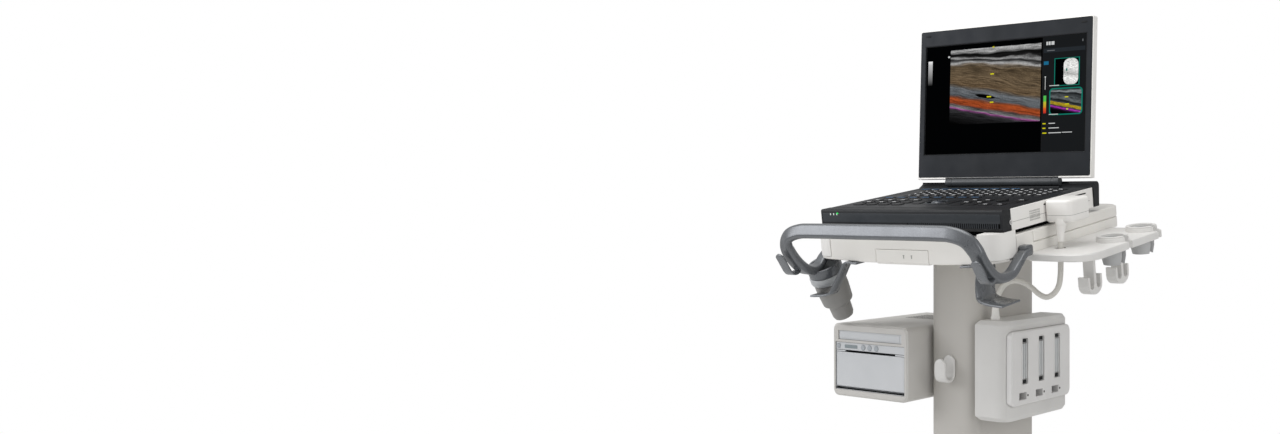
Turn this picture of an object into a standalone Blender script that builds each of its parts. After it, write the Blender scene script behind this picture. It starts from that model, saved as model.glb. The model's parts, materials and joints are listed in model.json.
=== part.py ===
"""Laptop ultrasound scanner docked on a wheeled, height-adjustable cart.

All sizes are in metres. +X is the user's right, -Y the user's side, +Z up, and the floor is z = 0.
Upper pieces are placed from the lid's hinge line, which stands HINGE_HEIGHT above the floor.
"""
import math

import bmesh
import bpy
from mathutils import Matrix, Vector

GAP = 0.0003                      # air left between pieces that touch

# Where the parts of the cart stand
HINGE_HEIGHT = 1.060              # lid hinge line above the floor, with the column at rest
INCLINE = math.radians(8.0)       # tray and keyboard rise towards the back
LID_LEAN = math.radians(2.1)      # lid leans back from upright

# Laptop body, in the inclined frame: y along the deck, z square to it
LAPTOP_WIDTH = 0.370
DECK_FRONT = -0.269
DECK_TOP = -0.016
LAPTOP_THICKNESS = 0.035
CASE_WALL = 0.003
DECK_SKIN = 0.008
LIP_DEPTH = 0.024
HUMP_BACK = 0.024                 # back of the black body behind the hinge
HUMP_RISE = 0.0085
KEY_RISE = 0.0010
KEYBOARD = (0.292, 0.086)         # size of the keyboard's bed
KEYBOARD_CENTRE = (0.010, -0.066)
KEY_COLUMNS, KEY_ROWS = 15, 5
BALL_RADIUS = 0.0160
BALL_PLACE = (-0.004, -0.182)
BALL_RISE = 0.0030
SELECT_KEY = (0.016, 0.040)
KNOB_RADIUS = 0.0105
KNOB_PLACE = (0.118, -0.168)
KNOB_RISE = 0.0034

# Lid, measured from its hinge axis
HINGE_AXIS = (0.0060, -0.0060)    # y, z in the inclined frame
BARREL_RADIUS = 0.0074
BARREL_LENGTH = 0.243
LID_HEIGHT = 0.2750
LID_FOOT = 0.0052                 # lower edge of the lid above the hinge axis
LID_FACE = 0.0060                 # screen side of the lid ahead of the hinge axis
LID_THICKNESS = 0.0140
BEZEL_DEPTH = 0.0040
LCD_SIZE = (0.3442, 0.2000)
LCD_FOOT = 0.0455                 # lower edge of the display above the lid's lower edge
LID_RIM = 0.0012

# Tray, in the inclined frame
TRAY_HALF_WIDTH = 0.187
TRAY_FRONT = -0.2905
TRAY_BACK = 0.100
TRAY_TOP = -0.058
TRAY_SEAM = -0.0775
TRAY_EDGE = -0.0955               # underside at the sides
TRAY_KEEL = -0.0995               # underside at the middle
KEEL_HALF_WIDTH = 0.078
TRAY_CORNER = 0.030
DOCK_START = -0.190               # front end of the separate rear dock slab
CORNER_BLOCK = (0.036, 0.050)     # across and along
CORNER_TOP = -0.0500
PADDLE_WIDTH = 0.107
PADDLE_DEPTH = 0.020
PADDLE_TOP = -0.0775

# Column
SLEEVE = (0.100, 0.194)           # across and front to back
SLEEVE_CENTRE_Y = -0.049
SLEEVE_CORNER = 0.028
SLEEVE_WALL = 0.0045
SLEEVE_LENGTH = 0.600             # from the hinge line down to the sleeve's lower end
MAST_CLEARANCE = 0.003
MAST_WALL = 0.004
MAST_TOP = 0.705                  # the sleeve can come down until its spring bridge is near this
GLIDE_HEIGHT = 0.060              # thick top of the mast that the sleeve runs on
SPRING_RADIUS = 0.014
ROD_RADIUS = 0.006
SPRING_LENGTH = 0.300

# Base
BASE_CENTRE_Y = -0.080
LEG_SPAN = (0.225, 0.235)         # caster pivots from the base's centre, across and along
LEG_WIDTH = 0.062
HUB_SIZE = (0.190, 0.250)
CHASSIS_BOTTOM = 0.112
CHASSIS_THICKNESS = 0.026
COVER_HEIGHT = 0.062
WHEEL_RADIUS = 0.050
WHEEL_WIDTH = 0.030
CASTER_TRAIL = 0.032
FORK_PLATE = 0.004
AXLE_RADIUS = 0.005

# Printer in its housing, in the upright frame of the hinge line
PRINTER_SIZE = (0.1665, 0.255, 0.1260)
PRINTER_FRONT = -0.199
PRINTER_TOP = -0.2515
PRINTER_WALL = 0.0060
UNIT_SIZE = (0.1535, 0.236, 0.0820)
BAY_PANEL = (0.1410, 0.0150)
STRIP_HEIGHT = 0.0135
SLOT_HEIGHT = 0.0030
DOOR_THICKNESS = 0.006
DOOR_SWING_GAP = 0.0025
BUTTON_RADIUS = 0.0048
BUTTON_PLACES = (0.062, 0.0762, 0.0912)   # from the unit's left edge

# Port box on the column's right side
PORT_DEPTH = 0.061                # out from the column
PORT_SPAN = (-0.146, 0.052)       # front and back
PORT_HEIGHTS = (-0.402, -0.236)
PORT_FACE_SPAN = (-0.136, 0.046)
PORT_FACE_HEIGHTS = (-0.3765, -0.2535)
PORT_FACE_RISE = 0.007
PORT_PITCH = 0.050
PORT_FIRST = -0.098
PORT_SLOT = (0.017, 0.076)
PORT_SLOT_TOP = -0.2660
LATCH_SIZE = (0.011, 0.011, 0.0125)
LATCH_HEIGHT = -0.3615
LATCH_TRAVEL = 0.010
GLAND_INSET = (0.024, 0.026)       # cable gland from the column's side and the box's front

# Handle and hooks, upright frame
BAR_SECTION = (0.024, 0.0135)
BAR_CORNER = 0.0055
HANDLE_POINTS = [(0.0, -0.350, -0.087), (0.120, -0.350, -0.087), (0.154, -0.350, -0.0885),
                 (0.181, -0.3475, -0.0965), (0.1945, -0.3400, -0.1115), (0.1985, -0.3275, -0.1295),
                 (0.1985, -0.3070, -0.1475), (0.1985, -0.2840, -0.1560), (0.1985, -0.2590, -0.1500),
                 (0.1985, -0.2415, -0.1335), (0.1985, -0.2280, -0.1215), (0.1985, -0.2120, -0.1150)]
ARM_LOW = -0.284                  # y of the arms' lowest point, from which they taper to their tips
ARM_TIP_SHARE = 0.72              # section at the arms' tips as a share of the bar's
ARM_PAD = (0.022, 0.017)          # mounting pad on the tray's side, along and up
HOOK_WIDTH = 0.018
HOOK_STRIP = 0.0035
HANDLE_HOOK_X = 0.1975            # how far out the hooks sit on the handle's arms
HANDLE_HOOK = ((-0.3084, -0.1560), (-0.3152, -0.1593), (-0.3232, -0.1593), (-0.3302, -0.1547), (-0.3365, -0.1466),
               (-0.3440, -0.1366), (-0.3520, -0.1266))
STRAP_LEFT = (-0.2795, -0.2570)   # front and back edges
STRAP_RIGHT = (-0.2780, -0.2280)
STRAP_THICKNESS = 0.0035
RING_TILT = math.radians(30.0)    # the gel holder opens towards the user
RING_RADIUS = 0.0300              # outer radius of the ring at the foot of the handle's left arm
RING_WALL = 0.0045
RING_HEIGHT = 0.017
RING_CENTRE = (-0.1900, -0.2485, -0.1518)
COLLAR_PROUD = 0.0015              # how far the collar stands out past the ring
COLLAR_HEIGHT = 0.015             # pale collar under the left ring
CUP_STEPS = ((0.0285, 0.018), (0.0265, 0.043), (0.0195, 0.048), (0.0185, 0.071))   # radius, depth below the collar

# Probe shelf, in the inclined frame
SHELF_REACH = 0.297
SHELF_SPAN = (-0.209, 0.052)
SHELF_TOP = -0.0925
SHELF_ROOT = 0.150                # where the shelf starts under the tray
SHELF_THICKNESS = 0.012
CUP_PLACES = ((0.264, -0.078), (0.262, 0.024))
CUP_RADIUS = 0.0265
CUP_BORE = 0.0185
CUP_RISE = 0.008
LINER_DROP = 0.026
HOOK_DROP = 0.0665
HOOK_HALF_WIDTH = 0.0095
HOOK_PLACES = ((0.246, -0.126), (0.246, -0.037))
CABLE_PLACE = (0.2128, -0.1390)   # where the probe cable passes the shelf, upright frame

# Probe plug and its cable
PLUG_REACH = 0.050
PLUG_SPAN = (-0.152, -0.090)      # along the deck
PLUG_HEIGHTS = (-0.0530, -0.0170)
CABLE_RADIUS = 0.0045
CABLE_SIDES = 2                   # bevel resolution of the cable's curve

FINISHES = {
    "white_plastic": ("E3E1DD", 0.45, 0.0),
    "warm_grey_paint": ("C9C5BE", 0.42, 0.0),
    "silver_grey": ("BFC1C2", 0.40, 0.2),
    "slate_paint": ("5E6166", 0.38, 0.3),
    "black_plastic": ("1B1E21", 0.50, 0.0),
    "deck_black": ("24282C", 0.45, 0.0),
    "glass_black": ("0A0C0E", 0.12, 0.0),
    "rubber": ("2B2B2B", 0.80, 0.0),
    "steel": ("A7A9AB", 0.30, 1.0),
    "cable_white": ("DAD9D6", 0.50, 0.0),
}


# ---------------------------------------------------------------- building blocks

def clear_scene():
    for thing in list(bpy.data.objects):
        bpy.data.objects.remove(thing, do_unlink=True)


def frame(name, parent=None, place=(0, 0, 0), turn=0.0):
    """An empty that carries the pieces modelled in its own frame; turn is about X."""
    empty = bpy.data.objects.new(name, None)
    bpy.context.collection.objects.link(empty)
    empty.parent = parent
    empty.location = place
    empty.rotation_euler = (turn, 0.0, 0.0)
    return empty


def finish_material(finish):
    material = bpy.data.materials.get(finish)
    if material:
        return material
    hex_colour, roughness, metallic = FINISHES[finish]
    srgb = [int(hex_colour[i:i + 2], 16) / 255 for i in (0, 2, 4)]
    linear = [c / 12.92 if c <= 0.04045 else ((c + 0.055) / 1.055) ** 2.4 for c in srgb]
    material = bpy.data.materials.new(finish)
    material.use_nodes = True
    shader = material.node_tree.nodes["Principled BSDF"]
    shader.inputs["Base Color"].default_value = (*linear, 1.0)
    shader.inputs["Roughness"].default_value = roughness
    shader.inputs["Metallic"].default_value = metallic
    return material


def place(name, bm, finish, parent, origin=(0, 0, 0)):
    """Turns a bmesh built in the parent's frame into a named object with its origin at origin."""
    bmesh.ops.recalc_face_normals(bm, faces=bm.faces)
    bmesh.ops.translate(bm, verts=bm.verts, vec=-Vector(origin))
    mesh = bpy.data.meshes.new(name)
    bm.to_mesh(mesh)
    bm.free()
    mesh.shade_smooth()
    mesh.set_sharp_from_angle(angle=math.radians(35))
    mesh.materials.append(finish_material(finish))
    thing = bpy.data.objects.new(name, mesh)
    bpy.context.collection.objects.link(thing)
    thing.parent = parent
    thing.location = origin
    return thing


def boolean(target, tool, operation):
    """Cuts target with tool, or joins tool to it; the tool stays behind as a hidden guide."""
    tool.hide_render = True
    tool.display_type = "WIRE"
    step = target.modifiers.new(tool.name, "BOOLEAN")
    step.operation = operation
    step.object = tool
    step.solver = "EXACT"


def cut(target, bm, name="cutter"):
    boolean(target, place(name, bm, "steel", target.parent), "DIFFERENCE")


def join(target, bm, name="addition"):
    boolean(target, place(name, bm, "steel", target.parent), "UNION")


def rings(loops, closed=False):
    """A closed skin through point loops of equal length; caps both ends, or joins last to first."""
    bm = bmesh.new()
    rows = [[bm.verts.new(point) for point in loop] for loop in loops]
    pairs = list(zip(rows, rows[1:])) + ([(rows[-1], rows[0])] if closed else [])
    for low, high in pairs:
        count = len(low)
        for i in range(count):
            bm.faces.new((low[i], low[(i + 1) % count], high[(i + 1) % count], high[i]))
    if not closed:
        bm.faces.new(rows[0][::-1])
        bm.faces.new(rows[-1])
    return bm


def arc(centre, radius, start, stop, steps):
    """Points on an arc, angles in degrees."""
    return [(centre[0] + radius * math.cos(math.radians(start + (stop - start) * i / steps)),
             centre[1] + radius * math.sin(math.radians(start + (stop - start) * i / steps)))
            for i in range(steps + 1)]


def round_rect(x0, x1, y0, y1, radius, steps=4):
    """Outline of a rectangle with round corners, anticlockwise."""
    radius = min(radius, 0.49 * (x1 - x0), 0.49 * (y1 - y0))
    corners = ((x1 - radius, y0 + radius, -90), (x1 - radius, y1 - radius, 0),
               (x0 + radius, y1 - radius, 90), (x0 + radius, y0 + radius, 180))
    return [p for x, y, a in corners for p in arc((x, y), radius, a, a + 90, steps)]


AXES = {"X": lambda u, v, w: (w, u, v), "Y": lambda u, v, w: (u, w, v), "Z": lambda u, v, w: (u, v, w)}


def prism(outline, low, high, axis="Z", chamfer=0.0):
    """An outline carried along an axis; chamfer draws both ends in."""
    to = AXES[axis]
    if not chamfer:
        return rings([[to(u, v, w) for u, v in outline] for w in (low, high)])
    cu = sum(p[0] for p in outline) / len(outline)
    cv = sum(p[1] for p in outline) / len(outline)
    hu = max(abs(p[0] - cu) for p in outline)
    hv = max(abs(p[1] - cv) for p in outline)
    small = [(cu + (u - cu) * (1 - chamfer / hu), cv + (v - cv) * (1 - chamfer / hv)) for u, v in outline]
    steps = ((small, low), (outline, low + chamfer), (outline, high - chamfer), (small, high))
    return rings([[to(u, v, w) for u, v in line] for line, w in steps])


def block(low, high, radius=0.0, chamfer=0.0, axis="Z", steps=3):
    """A box from corner to corner, with the edges along one axis rounded."""
    order = {"X": (1, 2, 0), "Y": (0, 2, 1), "Z": (0, 1, 2)}[axis]
    u, v, w = order
    if radius:
        outline = round_rect(low[u], high[u], low[v], high[v], radius, steps)
    else:
        outline = [(low[u], low[v]), (high[u], low[v]), (high[u], high[v]), (low[u], high[v])]
    return prism(outline, low[w], high[w], axis, chamfer)


def tube(outer, inner, low, high, axis="Z"):
    """A hollow prism, open at both ends; the outlines have equally many points."""
    to = AXES[axis]
    top = high if callable(high) else (lambda u, v: high)
    loops = [[to(u, v, low) for u, v in outer], [to(u, v, top(u, v)) for u, v in outer],
             [to(u, v, top(u, v)) for u, v in inner], [to(u, v, low) for u, v in inner]]
    return rings(loops, closed=True)


def circle(radius, count=24, centre=(0.0, 0.0)):
    return [(centre[0] + radius * math.cos(2 * math.pi * i / count),
             centre[1] + radius * math.sin(2 * math.pi * i / count)) for i in range(count)]


def turned(profile, centre=(0, 0, 0), axis="Z", count=24, closed=False):
    """A profile of (radius, height) pairs turned about an axis; closed for a ring-shaped piece."""
    to = AXES[axis]
    loops = [[to(*p, h) for p in circle(r, count)] for r, h in profile]
    bm = rings(loops, closed)
    bmesh.ops.translate(bm, verts=bm.verts, vec=Vector(centre))
    return bm


def smooth_path(points, steps=3):
    """Catmull-Rom points through a list of points."""
    ends = [points[0] * 2 - points[1]] + points + [points[-1] * 2 - points[-2]]
    line = []
    for a, b, c, d in zip(ends, ends[1:], ends[2:], ends[3:]):
        for i in range(steps):
            t = i / steps
            line.append(0.5 * (2 * b + (c - a) * t + (2 * a - 5 * b + 4 * c - d) * t * t
                               + (3 * b - a - 3 * c + d) * t ** 3))
    return line + [points[-1]]


def swept(line, section, side):
    """A section (u, v) carried along a line; u lies along side, made square to the path."""
    loops = []
    for i, point in enumerate(line):
        ahead = (line[min(i + 1, len(line) - 1)] - line[max(i - 1, 0)]).normalized()
        guide = Vector(side)
        u_axis = (guide - ahead * guide.dot(ahead)).normalized()
        v_axis = ahead.cross(u_axis)
        loops.append([point + u_axis * u + v_axis * v for u, v in section])
    return rings(loops)


def turned_about(bm, angle, axis, centre):
    bmesh.ops.rotate(bm, verts=bm.verts, cent=centre, matrix=Matrix.Rotation(angle, 3, axis))
    return bm


def desk_point(x, y, z):
    """A point of the inclined frame, seen in the hinge line's upright frame."""
    return Vector((x, y * math.cos(INCLINE) - z * math.sin(INCLINE),
                   y * math.sin(INCLINE) + z * math.cos(INCLINE)))


def tray_underside(x):
    """Height of the tray's underside in the inclined frame: flat keel, rising to the sides."""
    share = max(0.0, (abs(x) - KEEL_HALF_WIDTH) / (TRAY_HALF_WIDTH - KEEL_HALF_WIDTH))
    return TRAY_KEEL + (TRAY_EDGE - TRAY_KEEL) * share


def underside_height(x, y):
    """Height of the tray's underside over a point of the upright frame's plan."""
    return y * math.tan(INCLINE) + tray_underside(x) / math.cos(INCLINE)


# ---------------------------------------------------------------- base and casters

def leg_plan(width, reach):
    """Plan of one diagonal leg: a long bar with round ends, through the base's centre."""
    angle = math.atan2(LEG_SPAN[1], LEG_SPAN[0])
    length = math.hypot(*LEG_SPAN) + reach
    half = width / 2
    bar = arc((length, 0), half, -90, 90, 6) + arc((-length, 0), half, 90, 270, 6)
    c, s = math.cos(angle), math.sin(angle)
    return [(x * c - y * s, BASE_CENTRE_Y + x * s + y * c) for x, y in bar]


def build_base(cart):
    top = CHASSIS_BOTTOM + CHASSIS_THICKNESS
    chassis = place("base_chassis", prism(leg_plan(LEG_WIDTH, 0.0), CHASSIS_BOTTOM, top, chamfer=0.004),
                    "warm_grey_paint", cart)
    other = prism([(-x, y) for x, y in leg_plan(LEG_WIDTH, 0.0)], CHASSIS_BOTTOM, top, chamfer=0.004)
    join(chassis, other, "second_leg_pair")
    hub = block((-HUB_SIZE[0] / 2, SLEEVE_CENTRE_Y - HUB_SIZE[1] / 2, CHASSIS_BOTTOM),
                (HUB_SIZE[0] / 2, SLEEVE_CENTRE_Y + HUB_SIZE[1] / 2, top), 0.04)
    join(chassis, hub, "hub_plate")

    mast = mast_outline(0.0)
    outer = [round_rect(-w / 2, w / 2, SLEEVE_CENTRE_Y - d / 2, SLEEVE_CENTRE_Y + d / 2, r, 5)
             for w, d, r in ((HUB_SIZE[0], HUB_SIZE[1], 0.04), (HUB_SIZE[0] * 0.94, HUB_SIZE[1] * 0.95, 0.042),
                             (SLEEVE[0] + 0.034, SLEEVE[1] + 0.030, 0.036),
                             (SLEEVE[0] + 0.022, SLEEVE[1] + 0.020, 0.032))]
    inner = mast_outline(GAP)
    low = top + GAP
    levels = (low, low + COVER_HEIGHT * 0.45, low + COVER_HEIGHT * 0.9, low + COVER_HEIGHT)
    loops = [[(x, y, z) for x, y in line] for line, z in zip(outer, levels)]
    loops += [[(x, y, levels[-1]) for x, y in inner], [(x, y, low) for x, y in inner]]
    place("base_cover", rings(loops, closed=True), "warm_grey_paint", cart)

    bore = mast_outline(-MAST_WALL)
    glide = mast_outline(MAST_CLEARANCE - GAP)
    tall = MAST_TOP - GLIDE_HEIGHT
    loops = [[(x, y, z) for x, y in line] for line, z in
             ((mast, low), (mast, tall - 0.006), (glide, tall), (glide, MAST_TOP), (bore, MAST_TOP), (bore, low))]
    place("lower_mast", rings(loops, closed=True), "steel", cart)
    foot = low
    rod_top = HINGE_HEIGHT - SLEEVE_LENGTH + 0.120
    place("gas_spring_rod", turned([(0.012, foot), (0.012, foot + 0.006), (ROD_RADIUS, foot + 0.008),
                                    (ROD_RADIUS, rod_top)], (0, SLEEVE_CENTRE_Y, 0), count=16), "steel", cart)

    for side, x in (("left", -1), ("right", 1)):
        for end, y in (("front", -1), ("rear", 1)):
            build_caster(cart, f"{end}_{side}", x * LEG_SPAN[0], BASE_CENTRE_Y + y * LEG_SPAN[1], end == "front")


def mast_outline(grow):
    """Outline of the mast, grown outwards; it runs inside the sleeve with MAST_CLEARANCE all round."""
    inset = SLEEVE_WALL + MAST_CLEARANCE - grow
    return round_rect(-SLEEVE[0] / 2 + inset, SLEEVE[0] / 2 - inset, SLEEVE_CENTRE_Y - SLEEVE[1] / 2 + inset,
                      SLEEVE_CENTRE_Y + SLEEVE[1] / 2 - inset, SLEEVE_CORNER - inset, 5)


def build_caster(cart, name, x, y, braked):
    """A swivel caster trailing to the back: fork with its stem plate, and the wheel on its axle."""
    half = WHEEL_WIDTH / 2 + 0.002
    top = CHASSIS_BOTTOM - GAP
    axle = (x, y + CASTER_TRAIL, WHEEL_RADIUS)
    roof = 2 * WHEEL_RADIUS + 0.0035
    tail = y + 0.042
    side = [(y - 0.020, top), (y - 0.022, roof - 0.003)]
    side += arc((axle[1], axle[2]), 0.014, 200, 340, 5)
    side += [(tail, roof - 0.006), (tail, top - 0.002), (tail - 0.002, top)]
    fork = place(f"caster_fork_{name}", prism(side, x - half - FORK_PLATE, x + half + FORK_PLATE, "X"),
                 "silver_grey", cart, (x, y, top))
    cut(fork, block((x - half, y - 0.08, -0.01), (x + half, y + 0.12, roof)), f"fork_gap_{name}")
    axle_pin = turned([(AXLE_RADIUS - GAP, -half - 0.001), (AXLE_RADIUS - GAP, half + 0.001)], axle, "X", 16)
    join(fork, axle_pin, f"axle_{name}")
    r, w = WHEEL_RADIUS, WHEEL_WIDTH / 2
    profile = [(AXLE_RADIUS, -w), (r * 0.66, -w), (r * 0.72, -w * 0.8), (r * 0.86, -w * 0.86), (r * 0.97, -w * 0.5),
               (r, 0.0), (r * 0.97, w * 0.5), (r * 0.86, w * 0.86), (r * 0.72, w * 0.8), (r * 0.66, w),
               (AXLE_RADIUS, w)]
    place(f"caster_wheel_{name}", turned(profile, axle, "X", 32, closed=True), "rubber", cart, axle)
    if braked:
        pivot = (x, tail + 0.0030, roof + 0.002)
        lever = [(tail + 0.0008, roof + 0.0045), (tail + 0.0008, roof - 0.0010), (tail + 0.018, roof - 0.0060),
                 (tail + 0.036, roof - 0.0135), (tail + 0.036, roof - 0.0090), (tail + 0.018, roof - 0.0005)]
        out = half + FORK_PLATE
        place(f"brake_pedal_{name}", prism(lever, x - out, x + out, "X"), "slate_paint", cart, pivot)


# ---------------------------------------------------------------- column and what hangs on it

def sleeve_outline(grow, steps=5):
    return round_rect(-SLEEVE[0] / 2 - grow, SLEEVE[0] / 2 + grow, SLEEVE_CENTRE_Y - SLEEVE[1] / 2 - grow,
                      SLEEVE_CENTRE_Y + SLEEVE[1] / 2 + grow, SLEEVE_CORNER + grow, steps)


def build_column(lift):
    def top(u, v):
        """The sleeve ends against the tray's sloping underside."""
        return (TRAY_KEEL + v * math.sin(INCLINE)) / math.cos(INCLINE) - GAP

    place("column_sleeve", tube(sleeve_outline(0.0), sleeve_outline(-SLEEVE_WALL), -SLEEVE_LENGTH, top),
          "warm_grey_paint", lift)

    front = SLEEVE_CENTRE_Y - SLEEVE[1] / 2 - GAP
    low, high = -0.341, -0.297
    lip_y = front - 0.030
    side = [(front, low + 0.004), (front, high), (front - 0.005, high), (front - 0.005, low + 0.014)]
    side += arc((front - 0.0150, low + 0.014), 0.0100, 0, -180, 6)[1:]
    side += [(lip_y + 0.005, high - 0.004), (lip_y, high - 0.004)]
    side += arc((front - 0.0150, low + 0.014), 0.0150, 180, 270, 4)
    place("column_hook", prism(side, -0.0115, 0.0115, "X"), "white_plastic", lift)

    # The sprung lift inside the column: its cylinder hangs from a bridge at the sleeve's top
    crown = (TRAY_KEEL + (SLEEVE_CENTRE_Y - SLEEVE[1] / 2) * math.sin(INCLINE)) / math.cos(INCLINE) - 0.006
    foot = -SLEEVE_LENGTH + 0.120 + 0.012
    bridge = SLEEVE[0] / 2 - SLEEVE_WALL - GAP
    cylinder = place("gas_spring_cylinder", turned(
        [(ROD_RADIUS + 0.001, foot - 0.035), (SPRING_RADIUS, foot - 0.035), (SPRING_RADIUS, crown),
         (ROD_RADIUS + 0.001, crown)], (0, SLEEVE_CENTRE_Y, 0), count=16, closed=True), "steel", lift)
    join(cylinder, block((-bridge, SLEEVE_CENTRE_Y - 0.012, crown - 0.008),
                         (bridge, SLEEVE_CENTRE_Y + 0.012, crown)), "spring_bridge")


def build_printer(lift):
    width, depth, height = PRINTER_SIZE
    x1 = -SLEEVE[0] / 2 - GAP
    x0 = x1 - width
    y0, y1 = PRINTER_FRONT, PRINTER_FRONT + depth
    z1 = PRINTER_TOP
    z0 = z1 - height
    middle = (x0 + x1) / 2
    housing = place("printer_housing", block((x0, y0, z0), (x1, y1, z1), 0.011, 0.003, "Y", 4),
                    "warm_grey_paint", lift)
    unit_x0, unit_x1 = middle - UNIT_SIZE[0] / 2, middle + UNIT_SIZE[0] / 2
    unit_z0 = z0 + PRINTER_WALL + 0.0055
    unit_z1 = unit_z0 + UNIT_SIZE[2]
    room = GAP
    cut(housing, block((unit_x0 - room, y0 - 0.01, unit_z0 - room), (unit_x1 + room, y1 - 0.012, unit_z1 + room)),
        "unit_bay")
    panel_z0 = unit_z1 + 0.005
    panel_z1 = panel_z0 + BAY_PANEL[1]
    cut(housing, block((middle - BAY_PANEL[0] / 2 - room, y0 - 0.01, panel_z0 - room),
                       (middle + BAY_PANEL[0] / 2 + room, y0 + 0.010, panel_z1 + room)), "blank_bay")
    place("printer_bay_panel", block((middle - BAY_PANEL[0] / 2, y0 + 0.002, panel_z0),
                                     (middle + BAY_PANEL[0] / 2, y0 + 0.010 - GAP, panel_z1), 0.0015, axis="Y"),
          "silver_grey", lift)

    face = y0 + 0.0015
    unit = place("printer_unit", block((unit_x0, face, unit_z0), (unit_x1, face + UNIT_SIZE[1], unit_z1)),
                 "silver_grey", lift)
    strip_z = unit_z1 - STRIP_HEIGHT
    door_z1 = strip_z - SLOT_HEIGHT
    door_z0 = unit_z0 + 0.0045
    door_x = UNIT_SIZE[0] / 2 - 0.0012
    cut(unit, block((middle - door_x - room, face - 0.01, unit_z0 + 0.001),
                    (middle + door_x + room, face + DOOR_THICKNESS + DOOR_SWING_GAP, door_z1 + room)), "door_recess")
    cut(unit, block((middle - 0.056, face - 0.01, door_z1 - 0.001), (middle + 0.056, face + 0.030, strip_z)),
        "paper_slot")
    pivot = (middle, face + DOOR_THICKNESS / 2, door_z0 + DOOR_THICKNESS / 2)
    door_side = [(face, door_z1 - 0.0005), (face, door_z0 + DOOR_THICKNESS / 2)]
    door_side += arc((pivot[1], pivot[2]), DOOR_THICKNESS / 2, 180, 360, 8)[1:]
    door_side += [(face + DOOR_THICKNESS, door_z1 - 0.0005)]
    place("printer_door", prism(door_side, middle - door_x, middle + door_x, "X"), "silver_grey", lift, pivot)

    strip_middle = (strip_z + unit_z1) / 2
    for i, x in enumerate(BUTTON_PLACES, 1):
        centre = (unit_x0 + x, face, strip_middle)
        cut(unit, turned([(BUTTON_RADIUS + GAP, -0.01), (BUTTON_RADIUS + GAP, 0.0055)], centre, "Y", 20),
            f"button_hole_{i}")
        place(f"printer_button_{i}", turned([(BUTTON_RADIUS, 0.0035), (BUTTON_RADIUS, -0.0006),
                                             (BUTTON_RADIUS - 0.0006, -0.0012)], centre, "Y", 20),
              "silver_grey", lift, centre)
    half = 0.0034
    centre = (unit_x0 + 0.0062, face, strip_middle)
    cut(unit, block((centre[0] - half - GAP, face - 0.01, centre[2] - half - GAP),
                    (centre[0] + half + GAP, face + 0.0055, centre[2] + half + GAP), 0.001, axis="Y"), "power_hole")
    place("printer_power_button", block((centre[0] - half, face - 0.0010, centre[2] - half),
                                        (centre[0] + half, face + 0.0035, centre[2] + half), 0.001, axis="Y"),
          "silver_grey", lift, centre)


def build_port_box(lift):
    x0 = SLEEVE[0] / 2 + GAP
    x1 = x0 + PORT_DEPTH
    y0, y1 = PORT_SPAN
    z0, z1 = PORT_HEIGHTS
    plan = arc((x1 - 0.022, y0 + 0.022), 0.022, -90, 0, 5) + arc((x1 - 0.016, y1 - 0.016), 0.016, 0, 90, 4)
    plan = [(x0, y0)] + plan + [(x0, y1)]
    body = place("port_box_body", prism(plan, z0, z1, "Z", chamfer=0.007), "white_plastic", lift)
    recess = 0.012
    fy0, fy1 = PORT_FACE_SPAN
    fz0, fz1 = PORT_FACE_HEIGHTS
    outline = round_rect(fy0 - GAP, fy1 + GAP, fz0 - GAP, fz1 + GAP, 0.010, 4)
    cut(body, prism(outline, x1 - recess, x1 + 0.02, "X"), "faceplate_seat")
    well = round_rect(fy0 + 0.008, fy1 - 0.008, LATCH_HEIGHT - 0.010, fz1 - 0.006, 0.004, 2)
    cut(body, prism(well, x1 - recess - 0.012, x1 - recess + 0.001, "X"), "socket_well")
    plate_x0 = x1 - recess + GAP
    plate_x1 = x1 + PORT_FACE_RISE
    outline = round_rect(fy0, fy1, fz0, fz1, 0.010, 4)
    plate = place("port_faceplate", prism(outline, plate_x0, plate_x1, "X", chamfer=0.002), "white_plastic", lift)

    back = x1 - recess - 0.012 + GAP
    board = block((back, PORT_FIRST - PORT_SLOT[0] / 2 - 0.004, PORT_SLOT_TOP - PORT_SLOT[1] - 0.004),
                  (back + 0.004, PORT_FIRST + 2 * PORT_PITCH + PORT_SLOT[0] / 2 + 0.004, PORT_SLOT_TOP + 0.003))
    sockets = place("port_sockets", board, "black_plastic", lift)
    for i in range(3):
        y = PORT_FIRST + PORT_PITCH * i
        half = PORT_SLOT[0] / 2
        low = PORT_SLOT_TOP - PORT_SLOT[1]
        cut(plate, block((x0, y - half, low), (x1 + 0.03, y + half, PORT_SLOT_TOP), 0.002, axis="X", steps=2),
            f"slot_{i}")
        rim = block((back + 0.003, y - half + 0.003, low + 0.006),
                    (plate_x1 - 0.003, y + half - 0.003, PORT_SLOT_TOP - 0.006))
        join(sockets, rim, f"socket_{i}")
        cut(sockets, block((back + 0.006, y - 0.0025, low + 0.009), (plate_x1, y + 0.0025, PORT_SLOT_TOP - 0.009)),
            f"socket_mouth_{i}")
        across, tall, out = LATCH_SIZE
        left = y - 0.016
        cut(plate, block((plate_x0 - 0.001, left - GAP, LATCH_HEIGHT - tall / 2 - GAP),
                         (plate_x1 + 0.01, left + across + LATCH_TRAVEL + GAP, LATCH_HEIGHT + tall / 2 + GAP)),
            f"latch_track_{i}")
        centre = (plate_x1, left + across / 2, LATCH_HEIGHT)
        place(f"port_latch_{i + 1}", block((plate_x0 + GAP, left, LATCH_HEIGHT - tall / 2),
                                           (plate_x0 + out, left + across, LATCH_HEIGHT + tall / 2), 0.0015, axis="X",
                                           steps=2),
              "silver_grey", lift, centre)


def build_gland(lift, place_xyz):
    """Tapered strain relief where the probe cable enters the port box."""
    x, y, z = place_xyz
    r = CABLE_RADIUS
    profile = [(r + 0.0035, 0.0), (r + 0.0035, 0.004), (r + 0.0024, 0.006), (r + 0.0010, 0.022),
               (r * 0.5, 0.022), (r * 0.5, 0.0)]
    place("cable_gland", turned(profile, (x, y, z + GAP), "Z", 16, closed=True), "white_plastic", lift)


# ---------------------------------------------------------------- tray, handle, hooks, gel holder

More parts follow.
